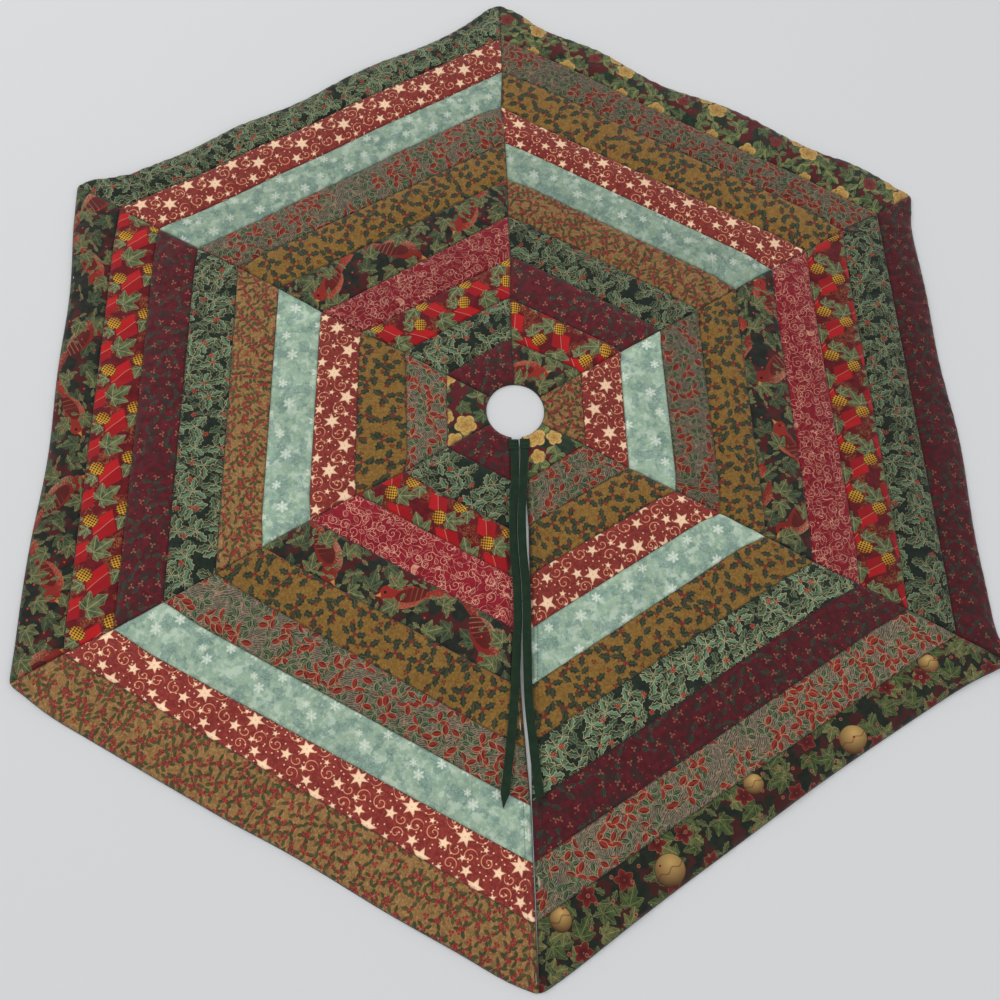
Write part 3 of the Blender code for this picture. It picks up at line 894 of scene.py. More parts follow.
def surface(wedge, u, v, seed=0):
    """Height of the quilted top over a flat point (u, v), and the nearest seam, in mm."""
    u, v = np.asarray(u, float) / MM, np.asarray(v, float) / MM
    s = STRIP / MM
    a = APOTHEM / MM
    k = np.clip(np.floor((a - u) / s + 1e-9), 0, STRIPS - 1)
    w_out = (a - u) - k * s
    w_in = s - w_out
    last, first = k >= STRIPS - 1, k < 0.5
    w_in = np.where(last, np.hypot(u, v) - HOLE_R / MM, w_in)
    w_out, w_in = np.maximum(w_out, 0.0), np.maximum(w_in, 0.0)
    lo, hi = sides(wedge, u * MM)
    w_lo = np.maximum((v - lo / MM) * COS30, 0.0)
    w_hi = np.maximum((hi / MM - v) * COS30, 0.0)
    seam, edge = PLATEAU - DITCH, PLATEAU - EDGE
    slit_lo, slit_hi = wedge == "front_right", wedge == "front_left"
    full = edge + 0.4
    keep = 1.0
    for w, is_edge, r in ((w_out, first, 6.5), (w_in, last, 6.5),
                          (w_lo, slit_lo, 6.0), (w_hi, slit_hi, 6.0)):
        depth = np.where(is_edge, edge, seam)
        keep = keep * (1.0 - depth * (1.0 - roll(w, r)) / full)
    z = PLATEAU - full * (1.0 - keep)
    ends = roll(np.minimum(w_lo, w_hi), 18.0)
    z = z + 1.3 * np.sin(np.pi * np.clip(w_out / (w_out + w_in + 1e-6), 0, 1)) * ends
    # puckers that run into the seams, alike on both sides of each seam
    for w, key in ((w_out, k), (w_in, k + 1)):
        ripple = 0.0
        for kk in range(STRIPS + 1):
            ripple = ripple + np.where(key == kk, wave(v, hash_of(wedge, kk), 15.0), 0.0)
        z = z + 0.55 * ripple * np.exp(-w / 7.0) * roll(w, 3.0)
    z = z + 0.25 * wave(v + 0.35 * u, hash_of(wedge, 77), 38.0) * wave(u, hash_of(wedge, 78), 31.0) \
        * np.minimum(roll(w_out, 8), roll(w_in, 8))
    # topstitching beside the slit
    for w, on in ((w_lo, slit_lo), (w_hi, slit_hi)):
        if on:
            z = z - 1.15 * np.exp(-((w - 7.5) / 1.5) ** 2)
            z = z - 0.35 * np.clip((7.5 - w) / 3.0, 0, 1)
    nearest = np.minimum(np.minimum(w_out, w_in), np.minimum(w_lo, w_hi))
    return z, nearest


def hash_of(word, number):
    return sum((i + 3) * ord(c) for i, c in enumerate(word)) * 101 + int(number) * 7919


# ---- how the laid cloth strays from the true hexagon (mm), seam by seam from
# the outside, as a middle value and a slope along the strip
STRAY = {
    "back_right": ((3, 0), (8, -3), (1, -3), (6, -2), (7, -1), (5, 1), (5, 0), (2, -3), (2, -3)),
    "right": ((1.5, .5), (1, -1), (0, -2), (.5, -1), (.5, -.5), (1, -1), (1.5, -1.5), (-1.5, 0), (0, 0)),
    "front_right": ((-3, 0), (-2, -2.5), (-2.5, -3.5), (-1, -2), (-3.5, -4), (-4, -2), (-3, 0), (-2, 0), (0, -2)),
    "front_left": ((1, -1), (6, -4), (7.5, -2.5), (7, 1), (4, 0), (1, 0), (0, 0), (3, 0), (1, 0)),
    "left": ((2, 1.5), (3, 1), (4, 1.5), (1.5, 1), (4, 3), (2.5, 3), (4, 1.5), (-3, -1), (0, 0)),
    "back_left": ((-3, -4), (-2, -4), (2.5, -5), (2, 1), (1.5, 1), (-1, -4), (-2, 0), (2, -1), (2, -2)),
}
RIM = {
    "back_left": (6.6, -1.6, -24.5, 3.0, -7.7, 1.0, -3.8, 0.0),
    "back_right": (17.3, 0.9, -19.3, 5.5, -5.6, 1.0, -1.7, 4.7),
    "right": (-6.2, 0.8, 3.6, 1.1, -0.6, -0.6, 0.9, 1.3),
    "front_right": (3.2, -3.0, -9.8, 0.7, -0.7, -0.1, -0.2, 0.3),
    "front_left": (13.1, -1.8, -4.1, 1.6, 0.0, 0.3, -0.6, 0.7),
    "left": (4.3, -1.1, -8.5, -2.9, 0.2, -1.2, 0.1, 1.0),
}


def stray(wedge, u, s):
    """Outward shift in m at distance u, place s from -1 to 1 along the strip."""
    s = np.clip(s, -1.0, 1.0)
    c = RIM[wedge]
    rim = c[0] + c[1] * s
    for k in range(1, 7):
        rim = rim + c[k + 1] * np.sin(math.pi * k * (s + 1) / 2)
    near = np.clip((np.abs(s) - 0.88) / 0.12, 0, 1)
    rim = np.clip(rim, -15.0, 10.0) * (1 - near) + 4.5 * near
    q = np.clip((APOTHEM - u) / STRIP, 0.0, STRIPS)
    values = [rim] + [a + b * s for a, b in STRAY[wedge]] + [0.0 * s]
    out = 0.0
    for i, value in enumerate(values):
        out = out + np.maximum(0.0, 1.0 - np.abs(q - i)) * value
    return out * MM


LOBES = ((112, 8, 7.0, 0.33), (131, 6, 6.5, 0.36), (144, 4, 4.0, 0.42), (97, 5, 3.0, 0.44),
         (78, 7, 5.5, 0.40), (60, 6, 3.5, 0.43), (44, 8, 4.5, 0.42), (14, 8, 2.5, 0.45),
         (-12, 9, 3.0, 0.46), (-34, 7, 2.0, 0.47), (-56, 8, 2.2, 0.48), (-80, 5, 1.6, 0.50),
         (-101, 6, 1.6, 0.50), (-128, 9, 2.4, 0.48), (-152, 7, 2.2, 0.48), (176, 9, 2.8, 0.46),
         (158, 6, 3.0, 0.44))


def lay(wedge, u, v, z):
    """The flat cloth point laid on the table: world x, y, z."""
    u, v, z = np.asarray(u, float), np.asarray(v, float), np.asarray(z, float)
    n, t = axes(wedge)
    phi = np.degrees(np.arctan2(v, np.maximum(u, 1e-6)))
    s = v / np.maximum(u * TAN30, 1e-6)
    own = stray(wedge, u, s)
    x = n[0] * u + t[0] * v
    y = n[1] * u + t[1] * v
    cw, ccw = NEXT[wedge]
    dx, dy = n[0] * own, n[1] * own
    for sign, other in ((-1, cw), (1, ccw)):
        if other is None:
            continue
        b = np.clip((sign * phi - 24.0) / 6.0, 0.0, 1.0)
        b = 0.5 * b * b * (3 - 2 * b)
        m, r = axes(other)
        ou, ov = x * m[0] + y * m[1], x * r[0] + y * r[1]
        far = stray(other, ou, ov / np.maximum(ou * TAN30, 1e-6))
        dx = dx + b * (m[0] * far - n[0] * own)
        dy = dy + b * (m[1] * far - n[1] * own)
    # beside the slit the cloth keeps its edge
    if None in (cw, ccw):
        side = -1.0 if wedge == "front_left" else 1.0
        hold = np.clip(np.abs(x) / 0.05, 0.0, 1.0)
        dx = dx * hold
    theta = np.degrees(np.arctan2(y, x))
    rad = np.hypot(x, y)
    lift = 0.0
    for at, width, height, start in LOBES:
        d = (theta - at + 180.0) % 360.0 - 180.0
        f = np.clip((rad - start) / (0.60 - start), 0.0, 1.0)
        lift = lift + height * np.exp(-(d / width) ** 2) * f * f * (3 - 2 * f)
    return np.stack([x + dx, y + dy, z + lift * MM], -1)


# ---- grids
ROW_MM = np.array((0.0, 1.3, 3.6, 7.6, 14.6, 25.4, 36.2, 43.2, 47.2, 49.5, 50.8))
SEAM_END = np.array((0.0, 1.3, 3.6, 7.4)) * MM
SLIT_END = np.array((0.0, 1.3, 3.4, 5.8, 8.0, 10.0, 13.0)) * MM
STEP = 0.0056


def spread(lo, hi, first, last, count):
    inner = np.linspace(lo + first[-1], hi - last[-1], count + 2)[1:-1]
    return np.concatenate([lo + first, inner, hi - last[::-1]])


def boundary(wedge, k, first, last, count, reach=0.0, spare=0.0, hole=HOLE_R):
    """Points (u, v) along the line k strips in from the outer edge."""
    if k < STRIPS:
        u = APOTHEM - k * STRIP
        lo, hi = sides(wedge, u, spare)
        v = spread(float(lo), float(hi), first, last, count)
        if k == 0:
            return np.stack([outer_edge(v, reach), v], 1)
        return np.stack([np.full_like(v, u), v], 1)
    lo_a, hi_a = -math.pi / 6, math.pi / 6
    for _ in range(4):
        lo, hi = sides(wedge, hole * math.cos(lo_a), spare)
        lo_a = math.asin(float(lo) / hole)
        lo, hi = sides(wedge, hole * math.cos(hi_a), spare)
        hi_a = math.asin(float(hi) / hole)
    a = spread(lo_a * hole, hi_a * hole, first, last, count) / hole
    return np.stack([hole * np.cos(a), hole * np.sin(a)], 1)


def strip_grid(wedge, k):
    """Coarse flat grid of strip k (1 is outermost): rows by columns of (u, v)."""
    first = SLIT_END if wedge == "front_right" else SEAM_END
    last = SLIT_END if wedge == "front_left" else SEAM_END
    mean = 2 * TAN30 * (APOTHEM - (k - 0.5) * STRIP)
    count = max(2, int(round((mean - first[-1] - last[-1]) / STEP)))
    outer = boundary(wedge, k - 1, first, last, count)
    inner = boundary(wedge, k, first, last, count)
    gap = 0.00012
    f = (ROW_MM / 50.8)[:, None, None]
    grid = inner[None] * (1 - f) + outer[None] * f
    long = np.linalg.norm(outer - inner, axis=1)
    if k > 1:      # a hair between neighbours at the seam
        grid[-1, :, 0] -= gap
    if k < STRIPS:
        grid[0, :, 0] += gap
    return grid


def finer(a):
    """Twice as many rows and columns, on a smooth surface."""
    for axis in (0, 1):
        a = np.moveaxis(a, axis, 0)
        pad = np.concatenate([2 * a[:1] - a[1:2], a, 2 * a[-1:] - a[-2:-1]])
        mid = (-pad[:-3] + 9 * pad[1:-2] + 9 * pad[2:-1] - pad[3:]) / 16
        out = np.empty((2 * len(a) - 1,) + a.shape[1:])
        out[0::2], out[1::2] = a, mid
        a = np.moveaxis(out, 0, axis)
    return a


# ---- cloth simulation: the wadding swells every strip between its seams
def simulate(grids):
    """Move each coarse strip by cloth simulation; returns shifts in m."""
    made = []
    for key, flat in grids.items():
        wedge, k = key
        rows, cols = flat.shape[:2]
        z, _ = surface(wedge, flat[..., 0], flat[..., 1])
        start = np.concatenate([flat, (z * MM)[..., None]], -1)
        me = bpy.data.meshes.new("cloth")
        faces = [(r * cols + c, (r + 1) * cols + c, (r + 1) * cols + c + 1, r * cols + c + 1)
                 for r in range(rows - 1) for c in range(cols - 1)]
        me.from_pydata(start.reshape(-1, 3).tolist(), [], faces)
        ob = bpy.data.objects.new("cloth", me)
        scene.collection.objects.link(ob)
        ob.location = (0.0, 0.0, 0.0)
        pin = ob.vertex_groups.new(name="pin")
        edge = [r * cols + c for r in range(rows) for c in range(cols)
                if r in (0, rows - 1) or c in (0, cols - 1)]
        pin.add(edge, 1.0, "REPLACE")
        mod = ob.modifiers.new("cloth", "CLOTH")
        st = mod.settings
        st.quality = 4
        st.mass = SIM_MASS
        st.air_damping = 2.0
        st.tension_stiffness = 20.0
        st.compression_stiffness = 20.0
        st.shear_stiffness = 5.0
        st.bending_stiffness = SIM_BEND
        st.tension_damping = st.compression_damping = 5.0
        st.bending_damping = 0.5
        st.shrink_min = SIM_GROW
        st.use_pressure = True
        st.uniform_pressure_force = 4.0
        st.vertex_group_mass = "pin"
        st.effector_weights.gravity = 0.0
        mod.collision_settings.use_collision = False
        mod.point_cache.frame_start = 1
        mod.point_cache.frame_end = 20
        made.append((key, ob, start))
    scene.frame_start, scene.frame_end = 1, 20
    for f in range(1, 21):
        scene.frame_set(f)
    deps = bpy.context.evaluated_depsgraph_get()
    shifts = {}
    for key, ob, start in made:
        me = ob.evaluated_get(deps).data
        co = np.empty(len(me.vertices) * 3)
        me.vertices.foreach_get("co", co)
        move = co.reshape(start.shape) - start
        move = np.nan_to_num(move)
        # the wadding holds the cloth up: it only moves outwards, in soft folds
        move[..., 2] = 0.5 * (move[..., 2] + np.sqrt(move[..., 2] ** 2 + 0.0004 ** 2)) - 0.0002
        size = np.linalg.norm(move, axis=-1, keepdims=True)
        move = move * (SIM_CAP / np.maximum(size, SIM_CAP))       # cap the movement
        shifts[key] = move
    for key, ob, start in made:
        me = ob.data
        bpy.data.objects.remove(ob, do_unlink=True)
        bpy.data.meshes.remove(me)
    scene.frame_set(1)
    return shifts


SIM_MASS, SIM_BEND, SIM_GROW, SIM_CAP = 0.0006, 0.05, -0.02, 0.0018


def closed_mesh(name, top, bottom, cloth_uv, place_uv, material):
    """A closed sheet between a top and a bottom grid of the same size."""
    rows, cols = top.shape[:2]
    n = rows * cols
    idx = np.arange(n).reshape(rows, cols)
    a, b, c, d = idx[:-1, :-1], idx[1:, :-1], idx[1:, 1:], idx[:-1, 1:]
    faces = [np.stack([a, b, c, d], -1).reshape(-1, 4),
             np.stack([d, c, b, a], -1).reshape(-1, 4) + n]
    for line, flip in ((idx[0], False), (idx[-1], True), (idx[:, 0], True), (idx[:, -1], False)):
        p, q = line[:-1], line[1:]
        quad = np.stack([p, q, q + n, p + n], -1)
        faces.append(quad[:, ::-1] if flip else quad)
    faces = np.concatenate(faces)
    me = bpy.data.meshes.new(name)
    me.from_pydata(np.concatenate([top.reshape(-1, 3), bottom.reshape(-1, 3)]).tolist(), [],
                   faces.tolist())
    loops = faces.reshape(-1) % n
    for layer, values in (("Cloth", cloth_uv), ("Place", place_uv)):
        uv = me.uv_layers.new(name=layer)
        uv.data.foreach_set("uv", values.reshape(-1, 2)[loops].astype(np.float32).reshape(-1))
    me.shade_smooth()
    me.set_sharp_from_angle(angle=math.radians(75))
    me.materials.append(material)
    ob = bpy.data.objects.new(name, me)
    scene.collection.objects.link(ob)
    return ob


BODY = {"back_right": "right_half", "right": "right_half", "left": "left_half"}


def attach(piece, wedge):
    """Ride on the wedge's body where it has one; the other wedges stay where they are laid."""
    if wedge in BODY:
        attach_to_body(piece, BODY[wedge])
    elif wedge == "back_left":
        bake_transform(piece)
    else:
        ray = 210 if wedge == "front_left" else -30
        a = math.radians(ray)
        turn = math.pi / 2 if wedge == "front_left" else -math.pi / 2
        reach = 0.0255
        p = Vector((0.3 * math.cos(a), 0.3 * math.sin(a), 0.005))
        q = p + Vector((math.cos(a + turn), math.sin(a + turn), 0.0)) * reach
        half = "left_half" if wedge == "front_left" else "right_half"
        flap = "left_flap" if wedge == "front_left" else "right_flap"
        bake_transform(piece)


# ================================================================ the strips
GRIDS = {(w, k): strip_grid(w, k) for w, _, _ in WEDGES for k in range(1, STRIPS + 1)}
SHIFTS = simulate(GRIDS)
STRIP_PIECES = []


# where the print falls on a strip: shift along, shift across, direction
PRINT_AT = {
    ("back_right", 10): (118.4, 9.5, 1.0), ("front_right", 10): (18.0, 6.0, 1.0),
    ("left", 10): (-2.0, -11.5, 1.0),
}
# how much darker or lighter each piece of the cloth is drawn, as a whole
PIECE_TONE = {
    ("back_left", 1): 0.92, ("front_left", 9): 0.95, ("left", 9): 1.0,
    ("back_right", 2): 0.72, ("back_right", 5): 0.76, ("back_right", 6): 0.84,
    ("back_right", 7): 0.76, ("back_right", 8): 1.12, ("right", 1): 0.72,
    ("right", 2): 0.74, ("right", 3): 0.84, ("right", 4): 0.94, ("right", 6): 0.95,
    ("right", 7): 0.74, ("right", 10): 0.88, ("front_right", 3): 0.86,
    ("front_right", 4): 1.14, ("front_right", 10): 1.1, ("front_left", 4): 1.0,
    ("front_left", 6): 1.12, ("front_left", 7): 1.22, ("left", 3): 1.04,
    ("left", 2): 1.04, ("back_left", 3): 0.82, ("back_left", 4): 0.84, ("front_left", 2): 1.16,
    ("back_left", 2): 0.98, ("right", 9): 0.96, ("back_right", 4): 0.94,
    ("back_right", 1): 0.88, ("back_right", 10): 1.1, ("front_right", 9): 0.88,
    ("back_left", 7): 0.92, ("back_left", 9): 0.97,
}


def make_strip(wedge, k, fabric):
    flat = GRIDS[(wedge, k)]
    z, _ = surface(wedge, flat[..., 0], flat[..., 1])
    coarse = np.concatenate([flat, (z * MM)[..., None]], -1)
    fine_flat = finer(flat)
    if (wedge, k) in SHIFTS:
        shift = finer(SHIFTS[(wedge, k)])
    else:
        shift = 0.0
    z_fine, near = surface(wedge, fine_flat[..., 0], fine_flat[..., 1])
    shaped = np.concatenate([fine_flat, (z_fine * MM)[..., None]], -1) + shift
    shaped[..., 2] = np.maximum(shaped[..., 2], 0.0013)
    top = lay(wedge, shaped[..., 0], shaped[..., 1], shaped[..., 2])
    bottom = lay(wedge, shaped[..., 0], shaped[..., 1], shaped[..., 2] - SHEET_T)
    rnd = random.Random(hash_of(wedge, k + 400))
    ox, oy = rnd.uniform(0, 400), rnd.uniform(0, 60)
    flip = -1.0 if rnd.random() < 0.5 else 1.0
    if (wedge, k) in PRINT_AT:
        ox, oy, flip = PRINT_AT[(wedge, k)]
    across = fine_flat[..., 0] / MM - (APOTHEM - k * STRIP) / MM
    cloth = np.stack([flip * fine_flat[..., 1] / MM + ox, flip * across + oy], -1)
    piece_tone = PIECE_TONE.get((wedge, k), 1.0)
    place = np.stack([near, np.full_like(near, piece_tone)], -1)
    piece = closed_mesh(f"{wedge}_strip_{k}_cloth", top, bottom, cloth, place, CLOTHS[fabric])
    node = f"{wedge}_strip_{k}" if k <= 7 else f"{wedge}_centre_strips"
    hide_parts(node)
    attach(piece, wedge)
    width = 2 * TAN30 * (APOTHEM - (k - 1) * STRIP)
    mean = 2 * TAN30 * (APOTHEM - (k - 0.5) * STRIP)
    area = mean * STRIP
    if k == STRIPS:
        area = (APOTHEM - 9 * STRIP) ** 2 * TAN30 - math.pi * HOLE_R ** 2 / 6
    STRIP_PIECES.append(piece)
    return piece




# ================================================================ backing and batting
FOLD_END = np.arange(0.0, 31.3, 2.4) * MM      # close columns where the skirt folds


def layer_grid(wedge, reach, spare, hole):
    """One grid over a whole wedge, row by row from the hole outwards."""
    lines = []
    for k in range(STRIPS, -1, -1):
        wide = 2 * TAN30 * max(APOTHEM - k * STRIP, hole * 0.9)
        ends = FOLD_END * min(1.0, 0.36 * wide / FOLD_END[-1])
        lines.append(boundary(wedge, k, ends, ends, 40, reach=reach, spare=spare, hole=hole))
    rows = []
    for i in range(STRIPS):
        a, b = lines[i], lines[i + 1]
        shares = (0.0, 0.07, 0.20, 0.5, 0.80, 0.93)
        if i == 0:
            shares = (0.0, 0.03, 0.07, 0.12, 0.20, 0.32, 0.5, 0.80, 0.93)
        elif i == STRIPS - 1:
            shares = (0.0, 0.07, 0.20, 0.5, 0.80, 0.88, 0.93, 0.97)
        for f in shares:
            rows.append(a * (1 - f) + b * f)
    rows.append(lines[-1])
    return np.array(rows)


def flat_uv(grid, seed):
    rnd = random.Random(seed)
    return np.stack([grid[..., 1] / MM + rnd.uniform(0, 300),
                     grid[..., 0] / MM + rnd.uniform(0, 300)], -1)


SECTION = {"back_right": "right_half", "right": "right_half", "left": "left_half",
           "back_left": "left_half", "front_left": "left_flap", "front_right": "right_flap"}
for wedge, _, _ in WEDGES:
    grid = layer_grid(wedge, 0.0006, 0.0004, HOLE_R - 0.0005)
    z, near = surface(wedge, grid[..., 0], grid[..., 1])
    low = 0.45 * (1 - roll(near, 7.0)) * roll(np.minimum(near * 0 + 9, near + 3.0), 9.0)
    bottom = lay(wedge, grid[..., 0], grid[..., 1], low * MM)
    top = lay(wedge, grid[..., 0], grid[..., 1], (low + 0.55) * MM)
    place = np.stack([np.full_like(near, 9.0), np.ones_like(near)], -1)
    piece = closed_mesh(f"{wedge}_backing_cloth", top, bottom, flat_uv(grid, 5), place, BACKING)
    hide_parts(f"{SECTION[wedge]}_backing")
    attach(piece, wedge)

    grid = layer_grid(wedge, -0.0034, -0.0030, HOLE_R + 0.0042)
    z, near = surface(wedge, grid[..., 0], grid[..., 1])
    base = 1.15
    over = np.maximum(z - 1.25, base + 0.35)
    bottom = lay(wedge, grid[..., 0], grid[..., 1], np.full_like(z, base * MM))
    top = lay(wedge, grid[..., 0], grid[..., 1], over * MM)
    place = np.stack([np.full_like(near, 9.0), np.ones_like(near)], -1)
    piece = closed_mesh(f"{wedge}_batting_pad", top, bottom, flat_uv(grid, 6), place, BATTING)
    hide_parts(f"{SECTION[wedge]}_batting")
    attach(piece, wedge)

for wedge, _, fabrics in WEDGES:
    for i, fabric in enumerate(fabrics):
        make_strip(wedge, i + 1, fabric)

# ================================================================ what lies on top
def tree_of(pieces):
    verts, polys = [], []
    for p in pieces:
        base = len(verts)
        verts.extend(v.co.copy() for v in p.data.vertices)
        half = len(p.data.polygons) // 2
        polys.extend([base + i for i in f.vertices] for f in p.data.polygons)
    return BVHTree.FromPolygons(verts, polys)


FRONT = [p for p in STRIP_PIECES if p.name.startswith("front_")]
TREE = tree_of(FRONT)


def top_at(x, y, default=None):
    hit = TREE.ray_cast(Vector((x, y, 0.05)), Vector((0, 0, -1)))[0]
    return hit.z if hit is not None else default


def thread_mesh(name, stitches, radius, material, sides_n=6):
    """Short arched stitches, each a closed capsule of thread."""
    verts, faces, uvs = [], [], []
    for p, q, rise in stitches:
        p, q = Vector(p), Vector(q)
        along = (q - p).normalized()
        up = Vector((0, 0, 1))
        across = along.cross(up).normalized()
        rings = 7
        base = len(verts)
        for i in range(rings):
            f = i / (rings - 1)
            centre = p.lerp(q, f) + up * (rise * math.sin(math.pi * f) - 0.0001)
            r = radius * (1.0 if 0 < i < rings - 1 else 0.55)
            for j in range(sides_n):
                a = 2 * math.pi * j / sides_n
                verts.append(centre + across * (r * math.cos(a)) + up * (r * math.sin(a)))
                uvs.append((f * 3.0, j / sides_n * 1.2))
        for i in range(rings - 1):
            for j in range(sides_n):
                k = (j + 1) % sides_n
                faces.append((base + i * sides_n + j, base + (i + 1) * sides_n + j,
                              base + (i + 1) * sides_n + k, base + i * sides_n + k))
        faces.append(tuple(base + j for j in range(sides_n)))
        faces.append(tuple(base + (rings - 1) * sides_n + j for j in reversed(range(sides_n))))
    me = bpy.data.meshes.new(name)
    me.from_pydata([tuple(v) for v in verts], [], faces)
    uv = me.uv_layers.new(name="Cloth")
    pl = me.uv_layers.new(name="Place")
    for loop in me.loops:
        uv.data[loop.index].uv = uvs[loop.vertex_index]
        pl.data[loop.index].uv = (9.0, 1.0)
    me.shade_smooth()
    me.materials.append(material)
    ob = bpy.data.objects.new(name, me)
    scene.collection.objects.link(ob)
    return ob


# ---- topstitching, 7.5 mm in from each side of the slit
for wedge, flap, side in (("front_left", "left_flap", -1), ("front_right", "right_flap", 1)):
    stitches = []
    d = 0.0415
    while d < 0.612:
        pts = []
        for e in (d, d + 0.0024):
            u = e * COS30
            lo, hi = sides(wedge, u)
            v = (hi - 0.0075 / COS30) if side < 0 else (lo + 0.0075 / COS30)
            x, y, z = lay(wedge, u, float(v), 0.0)
            pts.append((float(x), float(y), top_at(float(x), float(y), 0.004) + 0.00012))
        stitches.append((pts[0], pts[1], 0.00016))
        d += 0.0033
    piece = thread_mesh(f"{flap}_topstitching", stitches, 0.00021, THREAD)
    attach(piece, wedge)


# ---- the free ribbons
def ribbon(name, route, pointed, body, lift, under=None):
    line = smooth_route(route, 24)
    # even steps along the route
    dist = [0.0]
    for a, b in zip(line, line[1:]):
        dist.append(dist[-1] + (b - a).length)
    count = int(dist[-1] / 0.0024)
    xs = np.interp(np.linspace(0, dist[-1], count), dist, [p.x for p in line])
    ys = np.interp(np.linspace(0, dist[-1], count), dist, [p.y for p in line])
    tx, ty = np.gradient(xs), np.gradient(ys)
    size = np.hypot(tx, ty)
    tx, ty = tx / size, ty / size
    # extend under the folded end
    step = dist[-1] / (count - 1)
    for _ in range(2):
        xs, ys = np.insert(xs, 0, xs[0] - tx[0] * step), np.insert(ys, 0, ys[0] - ty[0] * step)
        tx, ty = np.insert(tx, 0, tx[0]), np.insert(ty, 0, ty[0])
    count = len(xs)
    across = np.linspace(-1, 1, 7)
    # the ribbon swings about its stitched end, so it lies over the highest of what it sweeps
    sense = 1.0 if body == "right_tie" else -1.0
    sweep = [math.radians(a) * sense for a in range(-22, 53, 2)]
    crest = np.zeros(count)
    radius = np.hypot(xs - xs[2], ys - ys[2])
    for i in range(count):
        for c in across[::2]:
            rx = xs[i] - ty[i] * c * RIBBON_W / 2 - xs[2]
            ry = ys[i] + tx[i] * c * RIBBON_W / 2 - ys[2]
            for a in sweep:
                ca, sa = math.cos(a), math.sin(a)
                z = top_at(xs[2] + rx * ca - ry * sa, ys[2] + rx * sa + ry * ca)
                if z is not None:
                    crest[i] = max(crest[i], z)
        if under is not None and radius[i] > 0.022:
            near_by = np.abs(under[0] - radius[i]) < 0.016
            if near_by.any():
                crest[i] = max(crest[i], float(under[1][near_by].max()))
    crest = np.where(crest <= 0.0, 0.0055, crest)
    wide = 9
    high = np.array([crest[max(0, i - wide):i + wide + 1].max() for i in range(count)])
    near = np.array([crest[max(0, i - 3):i + 4].max() for i in range(count)])
    z = 0.5 * high + 0.5 * near
    kernel = np.hanning(11)
    kernel /= kernel.sum()
    z = np.convolve(np.pad(z, 5, mode="edge"), kernel, mode="valid")
    z = np.maximum(z, np.convolve(np.pad(near, 1, mode="edge"), np.ones(3) / 3, mode="valid")) + lift
    half_t = 0.00024
    f = np.array((-1.0, -0.93, -0.5, 0.0, 0.5, 0.93, 1.0))
    tops, bots, uvs = [], [], []
    rnd = random.Random(hash_of(name, 3))
    ph = rnd.uniform(0, 6.28)
    along = np.arange(count) * step
    for i in range(count):
        w = RIBBON_W / 2 * (1.0 + 0.012 * math.sin(along[i] * 95 + ph))
        left_cut = right_cut = 0.0
        rest = (count - 1 - i) * step
        head = i * step
        if head < 0.0035:      # narrows out of sight under the folded end
            w *= 0.9
        row_t, row_b, row_uv = [], [], []
        tilt = 0.0003 * math.sin(along[i] * 23 + ph) + 0.00015 * math.sin(along[i] * 51)
        for j, c in enumerate(f):
            slide = 0.0
            if pointed:
                slide = -abs(c) * RIBBON_W * 1.55 * max(0.0, 1 - rest / 0.030)
            else:
                slide = -(c + 1) / 2 * RIBBON_W * 1.1 * max(0.0, 1 - rest / 0.024)
            px = xs[i] + tx[i] * slide - ty[i] * c * w
            py = ys[i] + ty[i] * slide + tx[i] * c * w
            t = half_t * (0.45 if abs(c) > 0.99 else 1.0)
            zz = z[i] + half_t + abs(tilt) + tilt * c - 0.0003 * (1 - c * c) * math.cos(along[i] * 17)
            row_t.append((px, py, zz + t))
            row_b.append((px, py, zz - t))
            row_uv.append(((along[i] + slide) / MM, c * w / MM))
        tops.append(row_t)
        bots.append(row_b)
        uvs.append(row_uv)
    top, bottom, uv = np.array(tops), np.array(bots), np.array(uvs)
    # rows run along the ribbon and columns across it
    place_uv = np.stack([np.full(uv.shape[:2], 9.0), np.ones(uv.shape[:2])], -1)
    piece = closed_mesh(name, top, bottom, uv, place_uv, RIBBON)
    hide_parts(name.replace("_ribbon", ""))
    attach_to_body(piece, body)
    path = [(float(xs[i]), float(ys[i]), float(z[i] + half_t)) for i in range(0, count, 6)]
    path.append((float(xs[-1]), float(ys[-1]), float(z[-1] + half_t)))
    return float(z[0]), float(z[2]), (radius, top[:, :, 2].max(axis=1))


LEFT_Z = ribbon("left_tie_ribbon", LEFT_ROUTE, True, "left_tie", 0.0004)
RIGHT_Z = ribbon("right_tie_ribbon", RIGHT_ROUTE, False, "right_tie", 0.0004, LEFT_Z[2])


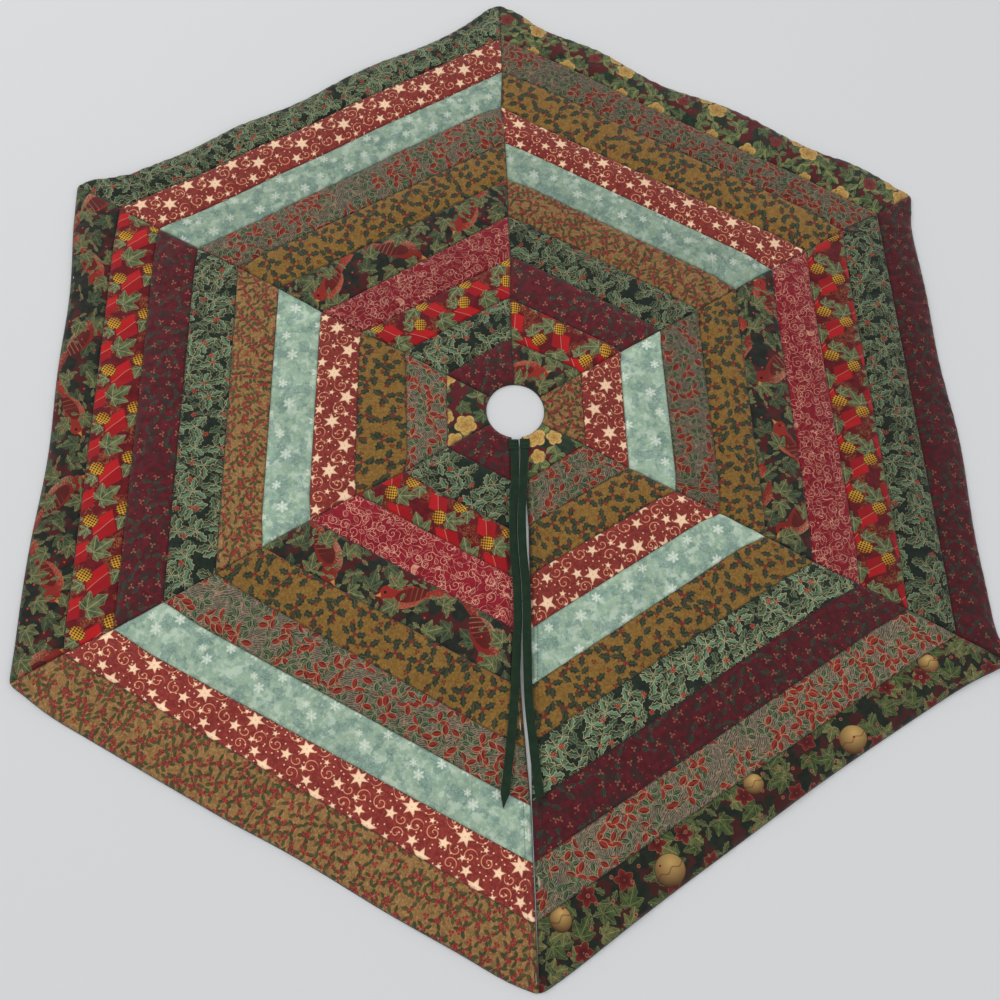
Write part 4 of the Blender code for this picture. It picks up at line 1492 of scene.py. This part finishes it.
# ---- the folded ends, stitched down beside the slit
def folded_end(name, x0, x1, y_low, y_high, z, body, seed):
    """A ribbon folded back on itself: one strip bent round its own end."""
    t = 0.00045
    rise = 0.00115
    prof = []      # centre line in (y, z): under layer, fold, top layer
    for y in np.linspace(y_low + 0.0012, y_high - 0.0007, 7):
        prof.append((y, 0.0))
    for a in np.linspace(-90, 90, 9)[1:-1]:
        prof.append((y_high - 0.0007 + 0.0007 * math.cos(math.radians(a)),
                     rise / 2 + rise / 2 * math.sin(math.radians(a))))
    for y in np.linspace(y_high - 0.0007, y_low - 0.0042, 12):
        sag = 0.00030 * math.exp(-((y - (y_low + y_high) / 2 - 0.001) / 0.0016) ** 2)
        prof.append((y, rise - sag))
    prof = np.array(prof)
    tangent = np.gradient(prof, axis=0)
    tangent /= np.linalg.norm(tangent, axis=1, keepdims=True)
    normal = np.stack([-tangent[:, 1], tangent[:, 0]], 1)
    cols = np.linspace(0, 1, 13)
    rnd = random.Random(seed)
    ph = rnd.uniform(0, 6.28)
    top, bottom, uv = [], [], []
    length = np.concatenate([[0], np.cumsum(np.linalg.norm(np.diff(prof, axis=0), axis=1))])
    for i, (p, nrm) in enumerate(zip(prof, normal)):
        rt, rb, ru = [], [], []
        for c in cols:
            x = x0 + (x1 - x0) * c
            wob = 0.0001 * math.sin(9 * c + ph)
            thick = t / 2 * (0.5 if c in (0.0, 1.0) else 1.0)
            rt.append((x, p[0] - nrm[0] * thick + wob, z + p[1] - nrm[1] * thick))
            rb.append((x, p[0] + nrm[0] * thick + wob, z + p[1] + nrm[1] * thick))
            ru.append((x / MM, (length[i] - 0.008) / MM * 0.45))
        top.append(rt)
        bottom.append(rb)
        uv.append(ru)
    top, bottom, uv = np.array(top), np.array(bottom), np.array(uv)
    place = np.stack([np.full(uv.shape[:2], 9.0), np.ones(uv.shape[:2])], -1)
    # the profile starts on the under layer, so its outer side faces down there
    piece = closed_mesh(name, top[::-1], bottom[::-1], uv[::-1], place, RIBBON)
    return piece


for side, route, zz, flap, node in (
        (-1, LEFT_ROUTE, LEFT_Z, "left_flap", "left_tie_stitched_end"),
        (1, RIGHT_ROUTE, RIGHT_Z, "right_flap", "right_tie_stitched_end")):
    cx = route[0][0]
    x0, x1 = (cx - RIBBON_W / 2 - 0.0020, cx + RIBBON_W / 2 + 0.0003) if side < 0 else \
        (cx - RIBBON_W / 2 - 0.0003, cx + RIBBON_W / 2 + 0.0020)
    base = max(zz[:2]) - 0.00045
    piece = folded_end(node + "_ribbon", x0, x1, -0.0470, -0.0393, base + 0.00015, flap, 4 + side)
    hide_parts(node)
    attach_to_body(piece, flap)
    # bar tacks: close zigzag stitches across the fold
    stitches = []
    for row_y in (-0.0412, -0.0452):
        x = x0 + 0.0012
        up = True
        while x < x1 - 0.0016:
            a = (x, row_y + (0.0005 if up else -0.0005), base + 0.00153)
            b = (x + 0.0007, row_y + (-0.0005 if up else 0.0005), base + 0.00153)
            stitches.append((a, b, 0.0001))
            x += 0.0007
            up = not up
    tack = thread_mesh(node + "_tacks", stitches, 0.00016, THREAD)
    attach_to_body(tack, flap)

# ================================================================ floor and light
floor_mesh = bpy.data.meshes.new("floor")
floor_mesh.from_pydata([(-30, -30, 0), (30, -30, 0), (30, 30, 0), (-30, 30, 0)], [], [(0, 1, 2, 3)])
floor = bpy.data.objects.new("floor", floor_mesh)
scene.collection.objects.link(floor)
floor_mat = bpy.data.materials.new("floor")
floor_mat.use_nodes = True
fs = floor_mat.node_tree.nodes["Principled BSDF"]
fs.inputs["Base Color"].default_value = (0.76, 0.768, 0.784, 1)
fs.inputs["Roughness"].default_value = 0.95
fs.inputs["Specular IOR Level"].default_value = 0.1
floor_mesh.materials.append(floor_mat)
floor.location = (0, 0, -0.0002)

world = bpy.data.worlds.new("studio")
world.use_nodes = True
world.node_tree.nodes["Background"].inputs["Color"].default_value = (1.0, 1.0, 1.0, 1)
world.node_tree.nodes["Background"].inputs["Strength"].default_value = 0.66
scene.world = world


def area_light(name, place, target, size, watts, colour=(1, 1, 1)):
    data = bpy.data.lights.new(name, "AREA")
    data.shape = "SQUARE"
    data.size = size
    data.energy = watts
    data.color = colour
    ob = bpy.data.objects.new(name, data)
    scene.collection.objects.link(ob)
    ob.location = place
    ob.rotation_euler = (Vector(target) - Vector(place)).to_track_quat("-Z", "Y").to_euler()
    return ob


area_light("key", (-2.2, 2.0, 3.0), (0, 0, 0), 2.0, 42.0, (1.0, 0.99, 0.97))
area_light("fill", (2.4, -1.8, 3.2), (0, 0, 0), 2.8, 17.0, (0.97, 0.98, 1.0))
scene.view_settings.view_transform = "Standard"
scene.view_settings.look = "None"
scene.view_settings.exposure = 0.0
scene.view_settings.gamma = 1.0

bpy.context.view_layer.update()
